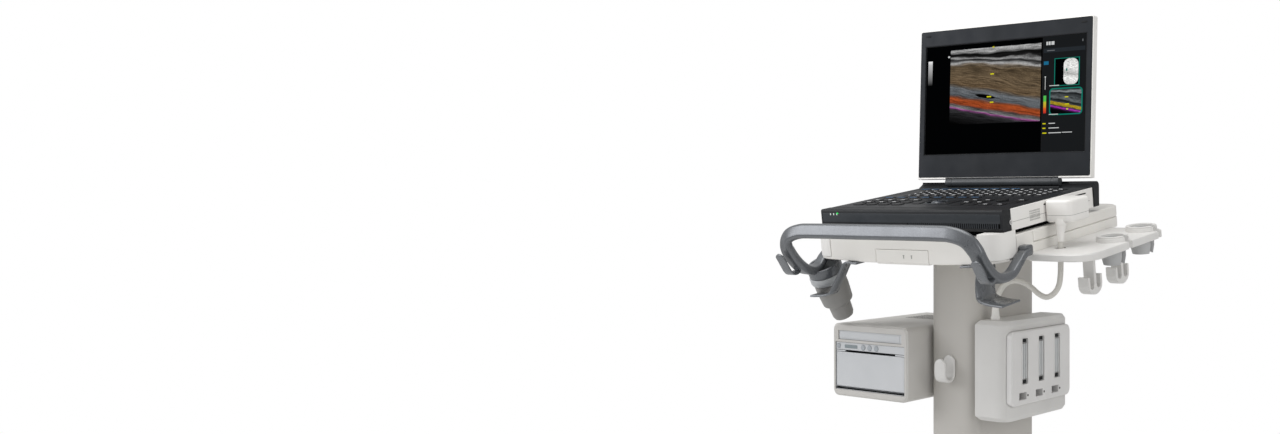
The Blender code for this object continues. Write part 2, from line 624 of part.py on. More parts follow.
def tray_outline(grow=0.0):
    return round_rect(-TRAY_HALF_WIDTH - grow, TRAY_HALF_WIDTH + grow, TRAY_FRONT - grow, TRAY_BACK + grow,
                      TRAY_CORNER + grow, 5)


def build_tray(desk):
    top = TRAY_SEAM - GAP
    outline = [(-TRAY_HALF_WIDTH, top), (-TRAY_HALF_WIDTH, TRAY_EDGE), (-KEEL_HALF_WIDTH, TRAY_KEEL),
               (KEEL_HALF_WIDTH, TRAY_KEEL), (TRAY_HALF_WIDTH, TRAY_EDGE), (TRAY_HALF_WIDTH, top)]
    full = [(x, TRAY_TOP if z == top else z) for x, z in outline]
    shell = place("tray_shell", prism(full, TRAY_FRONT - 0.01, TRAY_BACK + 0.01, "Y"), "white_plastic", desk)
    keep = place("tray_plan", prism(tray_outline(), TRAY_KEEL - 0.02, TRAY_TOP + 0.02), "steel", desk)
    boolean(shell, keep, "INTERSECT")
    cut(shell, block((-0.3, DOCK_START - GAP, top), (0.3, TRAY_BACK + 0.05, TRAY_TOP + 0.05)), "dock_seat")
    reach, along = CORNER_BLOCK
    inner, back = TRAY_HALF_WIDTH - reach, TRAY_FRONT + along
    for name, sign in (("left", -1), ("right", 1)):
        xs = sorted((sign * (inner - GAP), sign * 0.3))
        cut(shell, block((xs[0], TRAY_FRONT - 0.05, TRAY_EDGE + 0.004 - GAP), (xs[1], back + GAP, TRAY_TOP + 0.05)),
            f"corner_seat_{name}")
        corner = place(f"tray_corner_{name}", prism(tray_outline(0.0012), TRAY_EDGE + 0.004, CORNER_TOP),
                       "white_plastic", desk)
        xs = sorted((sign * inner, sign * 0.3))
        keep = place(f"corner_plan_{name}", block((xs[0], TRAY_FRONT - 0.05, TRAY_EDGE),
                                                  (xs[1], back, CORNER_TOP + 0.01)), "steel", desk)
        boolean(corner, keep, "INTERSECT")
        # the laptop's corner rests inside the raised rim
        rim = LAPTOP_WIDTH / 2 + GAP
        seat = DECK_TOP - LAPTOP_THICKNESS - GAP
        cut(corner, block((-rim, DECK_FRONT - GAP, seat), (rim, 0.0, seat + 0.05)), f"rim_{name}")
    half = PADDLE_WIDTH / 2
    cut(shell, block((-half - GAP, TRAY_FRONT - 0.02, TRAY_KEEL - 0.02),
                     (half + GAP, TRAY_FRONT + PADDLE_DEPTH + 0.0055, PADDLE_TOP + GAP)), "paddle_recess")
    pivot = (0.0, TRAY_FRONT + PADDLE_DEPTH - 0.002, PADDLE_TOP - 0.002)
    side = [(TRAY_FRONT, PADDLE_TOP), (TRAY_FRONT, TRAY_KEEL + 0.001), (TRAY_FRONT + 0.003, TRAY_KEEL - 0.002),
            (TRAY_FRONT + PADDLE_DEPTH, TRAY_KEEL - 0.002), (TRAY_FRONT + PADDLE_DEPTH, PADDLE_TOP - 0.002)]
    side += arc((pivot[1], pivot[2]), 0.002, 0, 90, 3)[1:]
    place("height_paddle", prism(side, -half, half, "X"), "white_plastic", desk, pivot)

    dock = place("tray_dock", prism(tray_outline(), TRAY_SEAM, TRAY_TOP, chamfer=0.002), "white_plastic", desk)
    cut(dock, block((-0.3, TRAY_FRONT - 0.05, TRAY_SEAM - 0.01), (0.3, DOCK_START, TRAY_TOP + 0.01)), "dock_front")
    # four pads carry the laptop above the tray
    pad_top = DECK_TOP - LAPTOP_THICKNESS - GAP
    for x in (-0.120, 0.120):
        join(dock, block((x - 0.018, -0.150, TRAY_TOP - 0.002), (x + 0.018, -0.120, pad_top), 0.006, axis="Z"),
             f"pad_front_{'left' if x < 0 else 'right'}")
        join(dock, block((x - 0.018, -0.040, TRAY_TOP - 0.002), (x + 0.018, -0.010, pad_top), 0.006, axis="Z"),
             f"pad_back_{'left' if x < 0 else 'right'}")


def build_handle(lift):
    """One bar: level across the front, down both sides into a holder ring, and up to the tray's sides."""
    line = smooth_path([Vector(p) for p in HANDLE_POINTS], 2)
    whole = [mirror_point(p) for p in reversed(line[1:])] + line
    handle = place("handle_bar", bar_along(whole), "slate_paint", lift)
    along, up = ARM_PAD
    end = Vector(HANDLE_POINTS[-1])
    local_y = end.y * math.cos(INCLINE) + end.z * math.sin(INCLINE)
    local_z = -end.y * math.sin(INCLINE) + end.z * math.cos(INCLINE)
    for name, sign in (("left", -1), ("right", 1)):
        xs = sorted((sign * (TRAY_HALF_WIDTH + GAP), sign * (end.x + 0.003)))
        pad = block((xs[0], local_y - along / 2, local_z - up / 2), (xs[1], local_y + along / 2, local_z + up / 2),
                    0.005, axis="X")
        join(handle, turned_about(pad, INCLINE, "X", (0, 0, 0)), f"arm_pad_{name}")
    # the left arm widens into the gel holder's ring
    join(handle, ring_part([(RING_RADIUS, -RING_HEIGHT / 2), (RING_RADIUS, RING_HEIGHT / 2)]), "holder_ring")
    bore = RING_RADIUS - RING_WALL
    cut(handle, ring_part([(bore, -0.030), (bore, 0.060)]), "ring_bore")
    return handle


def mirror_point(point):
    return Vector((-point.x, point.y, point.z))


def bar_along(line):
    """The handle's section carried along a line: its broad side stands up at the front, and lies across on the arms."""
    tall, thick = BAR_SECTION
    section = round_rect(-tall / 2, tall / 2, -thick / 2, thick / 2, BAR_CORNER, 3)
    tip = line[-1].y
    loops = []
    for i, point in enumerate(line):
        ahead = (line[min(i + 1, len(line) - 1)] - line[max(i - 1, 0)]).normalized()
        outward = Vector((math.copysign(1.0, point.x), 0.0, 0.0))
        guide = Vector((0, 0.25, 1)).normalized() * abs(ahead.x) + outward * (1 - abs(ahead.x))
        guide = (guide - ahead * guide.dot(ahead)).normalized()
        other = ahead.cross(guide)
        share = 1 - (1 - ARM_TIP_SHARE) * max(0.0, (point.y - ARM_LOW) / (tip - ARM_LOW))
        loops.append([point + guide * (u * share) + other * v for u, v in section])
    return rings(loops)


def ring_part(profile, count=32, closed=False):
    """A turned shape on the holder ring's leaning axis."""
    return turned_about(turned(profile, RING_CENTRE, "Z", count, closed), RING_TILT, "X", RING_CENTRE)


def build_hooks(lift):
    for name, sign in (("left", -1), ("right", 1)):
        line = smooth_path([Vector((sign * HANDLE_HOOK_X, y, z)) for y, z in HANDLE_HOOK], 2)
        strip = round_rect(-HOOK_WIDTH / 2, HOOK_WIDTH / 2, -HOOK_STRIP / 2, HOOK_STRIP / 2, 0.001, 1)
        place(f"handle_hook_{name}", swept(line, strip, (1, 0, 0)), "slate_paint", lift)
    build_strap_hook(lift, "left", -1, 0.1225, 0.025, STRAP_LEFT)
    build_strap_hook(lift, "right", 1, 0.1460, 0.0015, STRAP_RIGHT)


def build_strap_hook(lift, name, sign, root, lean, span):
    """Bracket under the tray's front corner: top plate, strap going down and out, and its broad foot."""
    y = (span[0] + span[1]) / 2
    half, thin = (span[1] - span[0]) / 2, STRAP_THICKNESS / 2
    drop = thin / math.cos(INCLINE) + 2 * GAP
    plate = [(x, underside_height(x, y) - drop) for x in (root - 0.030, root - 0.018, root - 0.006)]
    top = plate[-1][1]
    run = plate + [(root + 0.002, top - 0.006), (root + lean * 0.45, top - 0.0230), (root + lean, top - 0.0440),
                   (root + lean + 0.0040, top - 0.0520), (root + lean + 0.0160, top - 0.0560),
                   (root + lean + 0.0330, top - 0.0580), (root + lean + 0.0480, top - 0.0585)]
    line = smooth_path([Vector((sign * x, y, z)) for x, z in run], 2)
    bm = swept(line, round_rect(-half, half, -thin, thin, 0.001, 1), (0, 1, 0))
    for vert in bm.verts:
        vert.co.z += (vert.co.y - y) * math.tan(INCLINE)
    place(f"strap_hook_{name}", bm, "slate_paint", lift)


def build_gel_holder(lift):
    """Pale collar clipped under the left ring, and the stepped cup that it holds."""
    r = RING_RADIUS
    bore = r - RING_WALL
    top = -RING_HEIGHT / 2 - GAP
    low = top - COLLAR_HEIGHT
    wall = 0.0025
    lining = top + RING_HEIGHT / 2
    collar = [(bore - GAP - wall, lining), (bore - GAP, lining), (bore - GAP, top), (r, top),
              (r + COLLAR_PROUD, top - 0.003), (r + COLLAR_PROUD, low + 0.004), (r - 0.002, low),
              (bore - GAP - wall, low)]
    place("gel_collar", ring_part(collar, closed=True), "silver_grey", lift)
    rim = low - GAP
    outer = [(bore - GAP - wall - GAP, rim + 0.010), (bore - GAP - wall - GAP, rim), (CUP_STEPS[0][0], rim)]
    outer += [(radius, rim - depth) for radius, depth in CUP_STEPS]
    inner = [(radius - wall, height) for radius, height in outer[::-1] if radius != CUP_STEPS[0][0] or height != rim]
    floor_depth = rim - CUP_STEPS[-1][1]
    profile = outer + [(CUP_STEPS[-1][0] - 0.002, floor_depth - 0.003), (0.002, floor_depth - 0.003),
                       (0.002, floor_depth + 0.001)]
    profile += [(radius, max(height, floor_depth + 0.001)) for radius, height in inner]
    place("gel_cup", ring_part(profile, closed=True), "silver_grey", lift)


def build_shelf(desk):
    x0 = TRAY_HALF_WIDTH + GAP
    y0, y1 = SHELF_SPAN
    low = SHELF_TOP - SHELF_THICKNESS
    outline = [(x0, y0)] + arc((SHELF_REACH - 0.038, y0 + 0.038), 0.038, -90, 0, 6)
    outline += arc((SHELF_REACH - 0.030, y1 - 0.030), 0.030, 0, 90, 5) + [(x0, y1)]
    shelf = place("probe_shelf", prism(outline, low, SHELF_TOP, chamfer=0.002), "white_plastic", desk)
    # a root reaches under the tray and carries the shelf
    edge = tray_underside(SHELF_ROOT) - GAP
    root = [(SHELF_ROOT, low), (x0 + 0.006, low), (x0 + 0.006, tray_underside(SHELF_ROOT) - 2 * GAP),
            (TRAY_HALF_WIDTH, tray_underside(TRAY_HALF_WIDTH) - GAP), (SHELF_ROOT, edge)]
    join(shelf, prism(root, y0 + 0.012, y1 - 0.004, "Y"), "shelf_root")
    for i, (x, y) in enumerate(CUP_PLACES):
        boss = turned([(CUP_RADIUS, SHELF_TOP - 0.004), (CUP_RADIUS, SHELF_TOP + CUP_RISE - 0.002),
                       (CUP_RADIUS - 0.002, SHELF_TOP + CUP_RISE)], (x, y, 0), count=28)
        join(shelf, boss, f"cup_boss_{i}")
        cut(shelf, turned([(CUP_BORE, low - 0.01), (CUP_BORE, SHELF_TOP + 0.03)], (x, y, 0), count=28), f"bore_{i}")
        # a gap in the outer wall lets a probe's cable slide in sideways
        cut(shelf, block((x + 0.004, y - 0.006, low - 0.02), (x + 0.06, y + 0.006, SHELF_TOP + 0.03)), f"mouth_{i}")
    return shelf


def build_shelf_extras(desk, shelf):
    """Soft liners in the probe cups, and the cable hooks moulded under the shelf ahead of each cup."""
    low = SHELF_TOP - SHELF_THICKNESS
    for name, (x, y) in zip(("front", "rear"), CUP_PLACES):
        r = CUP_BORE - GAP
        profile = [(r + 0.002, low - GAP), (r + 0.0020, low - 0.012), (r - 0.0010, low - LINER_DROP),
                   (r - 0.0035, low - LINER_DROP), (r - 0.0025, SHELF_TOP + CUP_RISE - 0.003),
                   (r, SHELF_TOP + CUP_RISE - 0.003), (r, low - GAP)]
        liner = place(f"probe_cup_{name}", turned(profile, (x, y, 0), count=28, closed=True), "silver_grey", desk)
        cut(liner, block((x + 0.004, y - 0.006, low - 0.06), (x + 0.06, y + 0.006, SHELF_TOP + 0.03)),
            f"liner_mouth_{name}")
        # anchor-shaped cable hook: a stem with a lip to each side
        hook_x, stem_y = HOOK_PLACES[0 if name == "front" else 1]
        half, lip = 0.0035, 0.0165
        bottom = low - HOOK_DROP
        out = [(stem_y + half, low + 0.004), (stem_y + half, bottom + 0.016)]
        out += [(stem_y + (lip + half) / 2 + 0.5 * (lip - half) * math.cos(math.radians(a)),
                 bottom + 0.016 + 0.5 * (lip - half) * math.sin(math.radians(a))) for a in (210, 240, 270, 300, 330)]
        out += [(stem_y + lip, bottom + 0.030), (stem_y + lip + 0.005, bottom + 0.030)]
        out += [(stem_y + (lip + 0.005) * math.cos(math.radians(a)),
                 bottom + 0.016 + 0.016 * math.sin(math.radians(a))) for a in (0, -22, -45, -68, -90)]
        left = [(2 * stem_y - u, v) for u, v in reversed(out[:-1])]
        join(shelf, prism(out + left, hook_x - HOOK_HALF_WIDTH, hook_x + HOOK_HALF_WIDTH, "X"), f"shelf_hook_{name}")


# ---------------------------------------------------------------- laptop

def build_laptop(desk):
    half = LAPTOP_WIDTH / 2
    bottom = DECK_TOP - LAPTOP_THICKNESS
    inner = half - CASE_WALL
    front = DECK_FRONT + LIP_DEPTH
    back = HINGE_AXIS[0] - BARREL_RADIUS + 0.006
    case = place("laptop_case", block((-half, front + GAP, bottom), (half, back - GAP, DECK_TOP - 0.0010), 0.0),
                 "white_plastic", desk)
    cut(case, block((-inner - GAP, front - 0.01, DECK_TOP - DECK_SKIN - GAP), (inner + GAP, back + 0.01, 0.02)),
        "deck_seat")
    deck = place("laptop_deck", block((-inner, front - 0.004, DECK_TOP - DECK_SKIN), (inner, back + 0.004, DECK_TOP)),
                 "deck_black", desk)
    lip = [(DECK_FRONT, DECK_TOP - 0.003), (DECK_FRONT, bottom + 0.006), (DECK_FRONT + 0.005, bottom + 0.001),
           (front, bottom + 0.001), (front, DECK_TOP)] + arc((DECK_FRONT + 0.003, DECK_TOP - 0.003), 0.003, 90, 180, 3)
    join(deck, prism(lip, -half + 0.0005, half - 0.0005, "X"), "front_lip")
    hump_top = DECK_TOP + HUMP_RISE
    hump = [(back, bottom + 0.001), (HUMP_BACK - 0.004, bottom + 0.001)]
    hump += arc((HUMP_BACK - 0.008, hump_top - 0.008), 0.008, 0, 90, 4)
    hump += [(HINGE_AXIS[0] + 0.0120, hump_top), (HINGE_AXIS[0] + 0.0090, hump_top - 0.004), (back, DECK_TOP)]
    join(deck, prism(hump, -half - 0.002, half + 0.002, "X"), "rear_hump")
    bed_top = HINGE_AXIS[1] - BARREL_RADIUS - GAP
    if bed_top > DECK_TOP:
        join(deck, block((-BARREL_LENGTH / 2, HINGE_AXIS[0] - 0.005, DECK_TOP - 0.004),
                         (BARREL_LENGTH / 2, HINGE_AXIS[0] + 0.005, bed_top)), "barrel_bed")

    kx, ky = KEYBOARD_CENTRE
    kw, kd = KEYBOARD
    depth = 0.0045
    cut(deck, block((kx - kw / 2 - GAP, ky - kd / 2 - GAP, DECK_TOP - depth), (kx + kw / 2 + GAP, ky + kd / 2 + GAP, 0.01)),
        "keyboard_well")
    place("keyboard", keyboard_mesh(kx, ky, kw, kd, DECK_TOP - depth + GAP), "black_plastic", desk)

    bx, by = BALL_PLACE
    ball_z = DECK_TOP + BALL_RISE - BALL_RADIUS
    socket = turned([(BALL_RADIUS * 0.30, ball_z - BALL_RADIUS - GAP), (BALL_RADIUS + 0.0012, ball_z - BALL_RADIUS - GAP),
                     (BALL_RADIUS + 0.0012, 0.01), (BALL_RADIUS * 0.3, 0.01)], (bx, by, 0), count=24)
    cut(deck, socket, "ball_hole")
    cut(case, turned([(BALL_RADIUS + 0.004, ball_z - BALL_RADIUS - GAP), (BALL_RADIUS + 0.004, 0.02)], (bx, by, 0),
                     count=24), "ball_well")
    steps = 10
    ball = [(max(0.0004, BALL_RADIUS * math.sin(math.pi * i / steps)), -BALL_RADIUS * math.cos(math.pi * i / steps))
            for i in range(steps + 1)]
    place("trackball", turned([(r, h + ball_z) for r, h in ball], (bx, by, 0), count=20), "silver_grey", desk,
          (bx, by, ball_z))
    sx, sy = SELECT_KEY
    for name, sign in (("left", -1), ("right", 1)):
        centre = bx + sign * (BALL_RADIUS + 0.0065 + sx / 2)
        cut(deck, block((centre - sx / 2 - GAP, by - sy / 2 - GAP, DECK_TOP - 0.005),
                        (centre + sx / 2 + GAP, by + sy / 2 + GAP, 0.01)), f"key_well_{name}")
        key_top = DECK_TOP + KEY_RISE
        place(f"select_key_{name}", block((centre - sx / 2, by - sy / 2, DECK_TOP - 0.0035),
                                          (centre + sx / 2, by + sy / 2, key_top), 0.003, 0.0006),
              "black_plastic", desk, (centre, by, key_top))
    nx, ny = KNOB_PLACE
    cut(deck, turned([(0.004 + GAP, DECK_TOP - 0.006), (0.004 + GAP, 0.01)], (nx, ny, 0), count=16), "knob_hole")
    profile = [(0.004, DECK_TOP - 0.005), (0.004, DECK_TOP + GAP), (KNOB_RADIUS, DECK_TOP + GAP),
               (KNOB_RADIUS, DECK_TOP + KNOB_RISE - 0.001), (KNOB_RADIUS - 0.001, DECK_TOP + KNOB_RISE)]
    place("gain_knob", turned(profile, (nx, ny, 0), count=24), "black_plastic", desk, (nx, ny, DECK_TOP))


def keyboard_mesh(cx, cy, width, depth, floor):
    """One membrane with rows of raised keys, extruded out of its top face."""
    base_top = DECK_TOP - 0.0016
    pitch_x, pitch_y, slot = width / KEY_COLUMNS, depth / KEY_ROWS, 0.0028
    xs = [cx - width / 2] + [cx - width / 2 + pitch_x * i + s for i in range(KEY_COLUMNS)
                             for s in (slot / 2, pitch_x - slot / 2)] + [cx + width / 2]
    ys = [cy - depth / 2] + [cy - depth / 2 + pitch_y * i + s for i in range(KEY_ROWS)
                             for s in (slot / 2, pitch_y - slot / 2)] + [cy + depth / 2]
    bm = bmesh.new()
    grid = [[bm.verts.new((x, y, base_top)) for x in xs] for y in ys]
    keys = []
    for j in range(len(ys) - 1):
        for i in range(len(xs) - 1):
            face = bm.faces.new((grid[j][i], grid[j][i + 1], grid[j + 1][i + 1], grid[j + 1][i]))
            if i % 2 and j % 2:
                keys.append(face)
    rim = [grid[0][i] for i in range(len(xs))] + [grid[j][-1] for j in range(1, len(ys))]
    rim += [grid[-1][i] for i in range(len(xs) - 2, -1, -1)] + [grid[j][0] for j in range(len(ys) - 2, 0, -1)]
    low = [bm.verts.new((v.co.x, v.co.y, floor)) for v in rim]
    for i in range(len(rim)):
        k = (i + 1) % len(rim)
        bm.faces.new((rim[i], low[i], low[k], rim[k]))
    bm.faces.new(low)
    raised = bmesh.ops.extrude_discrete_faces(bm, faces=keys)
    for face in raised["faces"]:
        bmesh.ops.translate(bm, verts=face.verts, vec=(0, 0, DECK_TOP + KEY_RISE - base_top))
    return bm


def build_lid(lid):
    """The lid stands in its hinge axis's frame: z up its height, y towards its back."""
    half = LAPTOP_WIDTH / 2
    foot, head = LID_FOOT, LID_FOOT + LID_HEIGHT
    notch = BARREL_LENGTH / 2 + GAP
    outline = [(-half, foot), (-notch, foot), (-notch, BARREL_RADIUS + GAP), (notch, BARREL_RADIUS + GAP),
               (notch, foot), (half, foot)]
    outline += arc((half - 0.003, head - 0.003), 0.003, 0, 90, 2) + arc((-half + 0.003, head - 0.003), 0.003, 90, 180, 2)
    face, back = -LID_FACE, -LID_FACE + LID_THICKNESS
    shell = place("lid_shell", prism(outline, face, back, "Y", chamfer=0.0010), "white_plastic", lid)
    rim = LID_RIM
    low = BARREL_RADIUS + GAP + 0.001
    cut(shell, block((-half + rim, face - 0.01, low), (half - rim, face + BEZEL_DEPTH + GAP, head - rim), 0.003,
                     axis="Y"), "bezel_seat")
    bezel = place("lid_bezel", block((-half + rim + GAP, face - 0.0004, low + GAP),
                                     (half - rim - GAP, face + BEZEL_DEPTH, head - rim - GAP), 0.003, axis="Y"),
                  "black_plastic", lid)
    lcd_w, lcd_h = LCD_SIZE
    z0 = foot + LCD_FOOT
    cut(bezel, block((-lcd_w / 2 - GAP, face - 0.01, z0 - GAP), (lcd_w / 2 + GAP, face + 0.01, z0 + lcd_h + GAP)),
        "display_window")
    place("lcd_panel", block((-lcd_w / 2, face + 0.0008, z0), (lcd_w / 2, face + BEZEL_DEPTH, z0 + lcd_h)),
          "glass_black", lid)
    barrel = [(x, y) for x, y in circle(BARREL_RADIUS, 24)]
    place("hinge_barrel", prism(barrel, -BARREL_LENGTH / 2, BARREL_LENGTH / 2, "X"), "black_plastic", lid)


def build_plug(desk):
    x0 = LAPTOP_WIDTH / 2 + GAP
    y0, y1 = PLUG_SPAN
    z0, z1 = PLUG_HEIGHTS
    plan = [(x0, y0 + 0.004)] + arc((x0 + PLUG_REACH - 0.012, y0 + 0.012), 0.012, -90, 0, 4)
    plan += arc((x0 + PLUG_REACH - 0.008, y1 - 0.008), 0.008, 0, 90, 3) + [(x0, y1)]
    plug = place("probe_plug", prism(plan, z0, z1, "Z", chamfer=0.003), "white_plastic", desk)
    return plug


def cable_route(start, end):
    """The probe cable: down through the shelf, a slack loop, over an arch and down into the port box."""
    return [start, (0.2128, -0.1390, start[2] - 0.010), (0.2127, -0.1390, -0.1353), (0.2122, -0.1390, -0.1559),
            (0.2082, -0.1380, -0.1740), (0.1978, -0.1370, -0.1868), (0.1837, -0.1360, -0.1925),
            (0.1682, -0.1340, -0.1880), (0.1535, -0.1320, -0.1788), (0.1368, -0.1300, -0.1716),
            (0.1186, -0.1270, -0.1694), (0.1022, -0.1240, -0.1728), (0.0885, -0.1218, -0.1822),
            (0.0795, -0.1205, -0.1960), (end[0], end[1], end[2] + 0.006), end]


def build_cable(lift, start, end):
    line = smooth_path([Vector(p) for p in cable_route(start, end)], 4)
    curve = bpy.data.curves.new("probe_cable", "CURVE")
    curve.dimensions = "3D"
    curve.bevel_depth = CABLE_RADIUS
    curve.bevel_resolution = CABLE_SIDES
    curve.use_fill_caps = True
    spline = curve.splines.new("POLY")
    spline.points.add(len(line) - 1)
    for point, where in zip(spline.points, line):
        point.co = (*where, 1.0)
    curve.materials.append(finish_material("cable_white"))
    cable = bpy.data.objects.new("probe_cable", curve)
    bpy.context.collection.objects.link(cable)
    cable.parent = lift
    return cable


def main():
    clear_scene()
    # the cart's middle, between the base's left casters and the shelf's right edge, stands at the origin
    left = LEG_SPAN[0] + LEG_WIDTH / 2
    offset_x = (SHELF_REACH - left) / 2
    back = BASE_CENTRE_Y + LEG_SPAN[1] + CASTER_TRAIL + WHEEL_RADIUS
    front = HANDLE_POINTS[0][1] - BAR_SECTION[1] / 2
    offset_y = (front + back) / 2
    cart = frame("cart", None, (-offset_x, -offset_y, 0.0))
    lift = frame("lift", cart, (0, 0, HINGE_HEIGHT))
    desk = frame("desk", lift, (0, 0, 0), INCLINE)
    axis = desk_point(0, *HINGE_AXIS)
    lid = frame("lid", lift, axis, -LID_LEAN)
    build_base(cart)
    build_column(lift)
    build_printer(lift)
    build_port_box(lift)
    build_tray(desk)
    build_handle(lift)
    build_hooks(lift)
    build_gel_holder(lift)
    shelf = build_shelf(desk)
    build_shelf_extras(desk, shelf)
    build_laptop(desk)
    build_lid(lid)
    plug = build_plug(desk)

    # strain relief under the plug, and the hole in the shelf under it
    x, y = CABLE_PLACE
    plug_bottom = (PLUG_HEIGHTS[0] + y * math.sin(INCLINE)) / math.cos(INCLINE)
    relief_foot = plug_bottom - 0.030
    r = CABLE_RADIUS
    relief = turned([(r + 0.0045, plug_bottom + 0.006), (r + 0.0045, plug_bottom - 0.003), (r + 0.003, plug_bottom - 0.006),
                     (r + 0.0008, relief_foot), (0.0005, relief_foot), (0.0005, plug_bottom + 0.006)],
                    (x, y, 0), count=16, closed=False)
    join(plug, lift_to_desk(relief), "strain_relief")
    hole = turned([(r + 0.0045, -0.02), (r + 0.0045, 0.02)],
                  (x, y, (SHELF_TOP + y * math.sin(INCLINE)) / math.cos(INCLINE) - 0.006), count=16)
    cut(shelf, lift_to_desk(hole), "cable_hole")
    gland_x, gland_y = SLEEVE[0] / 2 + GLAND_INSET[0], PORT_SPAN[0] + GLAND_INSET[1]
    gland = (gland_x, gland_y, PORT_HEIGHTS[1])
    build_gland(lift, gland)
    build_cable(lift, (x, y, relief_foot - GAP), (gland_x, gland_y, PORT_HEIGHTS[1] + 0.022 + 4 * GAP))


def lift_to_desk(bm):
    """A shape built in the upright frame, carried into the inclined one."""
    return turned_about(bm, -INCLINE, "X", (0, 0, 0))


main()
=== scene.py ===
"""Laptop ultrasound scanner on a height-adjustable cart.

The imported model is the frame. Every visible node is either dressed as a softened copy, with its edges
eased as a mould eases them, or stands as a new surface worked out here. All lengths are metres.
"""

import json
import logging
import math
from dataclasses import dataclass, field
from enum import Enum

import bmesh
import bpy
import numpy as np
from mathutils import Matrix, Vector

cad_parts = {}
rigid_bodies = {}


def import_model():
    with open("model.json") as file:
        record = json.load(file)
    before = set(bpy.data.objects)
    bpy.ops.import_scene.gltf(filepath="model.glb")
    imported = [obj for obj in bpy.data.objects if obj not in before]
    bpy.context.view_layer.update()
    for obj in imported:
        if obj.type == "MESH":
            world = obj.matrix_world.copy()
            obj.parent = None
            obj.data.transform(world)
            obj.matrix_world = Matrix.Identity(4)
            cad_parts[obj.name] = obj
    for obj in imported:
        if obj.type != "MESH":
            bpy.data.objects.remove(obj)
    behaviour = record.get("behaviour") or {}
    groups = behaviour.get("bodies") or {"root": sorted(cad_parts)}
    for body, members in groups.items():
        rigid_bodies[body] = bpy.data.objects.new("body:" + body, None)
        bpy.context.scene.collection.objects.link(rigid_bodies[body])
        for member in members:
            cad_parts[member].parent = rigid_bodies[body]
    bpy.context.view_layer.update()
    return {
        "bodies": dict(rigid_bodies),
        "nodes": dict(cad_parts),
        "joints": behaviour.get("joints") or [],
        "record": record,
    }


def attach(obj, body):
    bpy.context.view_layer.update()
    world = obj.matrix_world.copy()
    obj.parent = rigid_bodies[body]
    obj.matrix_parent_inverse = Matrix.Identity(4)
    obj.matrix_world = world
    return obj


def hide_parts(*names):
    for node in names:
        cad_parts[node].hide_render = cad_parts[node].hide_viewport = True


Array = np.ndarray
log = logging.getLogger("scanner_cart")


# ---------------------------------------------------------------- options and places

class Grain(Enum):
    """How a moulded surface was finished by its tool."""

    SMOOTH = 0.10
    SPARKED = 0.30


class Body(Enum):
    """The bodies that many pieces ride on; a small moving part is its own body, under its node's name."""

    BASE = "base"
    CART = "upper_cart"
    LID = "lid"
    PADDLE = "height_paddle"


@dataclass(frozen=True)
class Place:
    """A local frame: turned about X by tilt, then moved to origin."""

    origin: tuple[float, float, float]
    tilt: float = 0.0

    def world(self, points: Array) -> Array:
        """Carries points from this frame into the object's frame.

        Args:
            points: An array whose last axis is x, y, z.
        Returns:
            The same array shape; y and z are turned by the tilt, and the origin is added.
        """
        c, s = math.cos(self.tilt), math.sin(self.tilt)
        x, y, z = points[..., 0], points[..., 1], points[..., 2]
        return np.stack([x, y * c - z * s, y * s + z * c], -1) + np.array(self.origin)


HINGE = (-0.0205, 0.059875, 1.060)
INCLINE = math.radians(8.0)
AXIS_Y, AXIS_Z = 0.0060, -0.0060
CART_FRAME = Place(HINGE)
DESK_FRAME = Place(HINGE, INCLINE)
LID_FRAME = Place(
    (HINGE[0], HINGE[1] + AXIS_Y * math.cos(INCLINE) - AXIS_Z * math.sin(INCLINE),
     HINGE[2] + AXIS_Y * math.sin(INCLINE) + AXIS_Z * math.cos(INCLINE)), -math.radians(2.1))
RING_CENTRE = (-0.1900, -0.2485, -0.1518)
RING_FRAME = Place(tuple(h + c for h, c in zip(HINGE, RING_CENTRE)), math.radians(30.0))
WORLD_FRAME = Place((0.0, 0.0, 0.0))
INK = 0.00006  # half the thickness of a printed mark


# ---------------------------------------------------------------- colours and nodes

def to_linear(hex_colour: str) -> tuple[float, float, float, float]:
    """Turns an sRGB hex colour into the linear colour that a shader takes.

    Args:
        hex_colour: Six hex digits.
    Returns:
        Linear red, green, blue and an alpha of one.
    """
    srgb = [int(hex_colour[i:i + 2], 16) / 255 for i in (0, 2, 4)]
    linear = [c / 12.92 if c <= 0.04045 else ((c + 0.055) / 1.055) ** 2.4 for c in srgb]
    return (*linear, 1.0)


def add_node(tree: bpy.types.NodeTree, kind: str, settings: dict | None = None,
             links: dict | None = None) -> bpy.types.Node:
    """Adds a node with its settings and links.

    Args:
        tree: The node tree of a material or world.
        kind: The node's type name.
        settings: Property names, or input names or numbers, with their values.
        links: Input names or numbers, with the output socket that feeds each.
    Returns:
        The new node.
    """
    node = tree.nodes.new(kind)
    for key, value in (settings or {}).items():
        if isinstance(key, str) and hasattr(node, key):
            setattr(node, key, value)
        else:
            node.inputs[key].default_value = value
    for key, source in (links or {}).items():
        tree.links.new(source, node.inputs[key])
    return node


def set_ramp(node: bpy.types.Node, stops: list[tuple[float, str]]) -> None:
    """Fills a colour ramp.

    Args:
        node: A Color Ramp node.
        stops: Places from 0 to 1, each with its hex colour.
    """
    ramp = node.color_ramp
    while len(ramp.elements) < len(stops):
        ramp.elements.new(0.5)
    for element, (place, colour) in zip(ramp.elements, stops):
        element.position = place
        element.color = to_linear(colour)


def blank_material(name: str) -> tuple[bpy.types.Material, bpy.types.NodeTree, bpy.types.Node]:
    """Makes a material that holds only its shader.

    Args:
        name: The material's name.
    Returns:
        The material, its tree and its Principled shader.
    """
    material = bpy.data.materials.new(name)
    material.use_nodes = True
    tree = material.node_tree
    return material, tree, tree.nodes["Principled BSDF"]


# ---------------------------------------------------------------- finishes

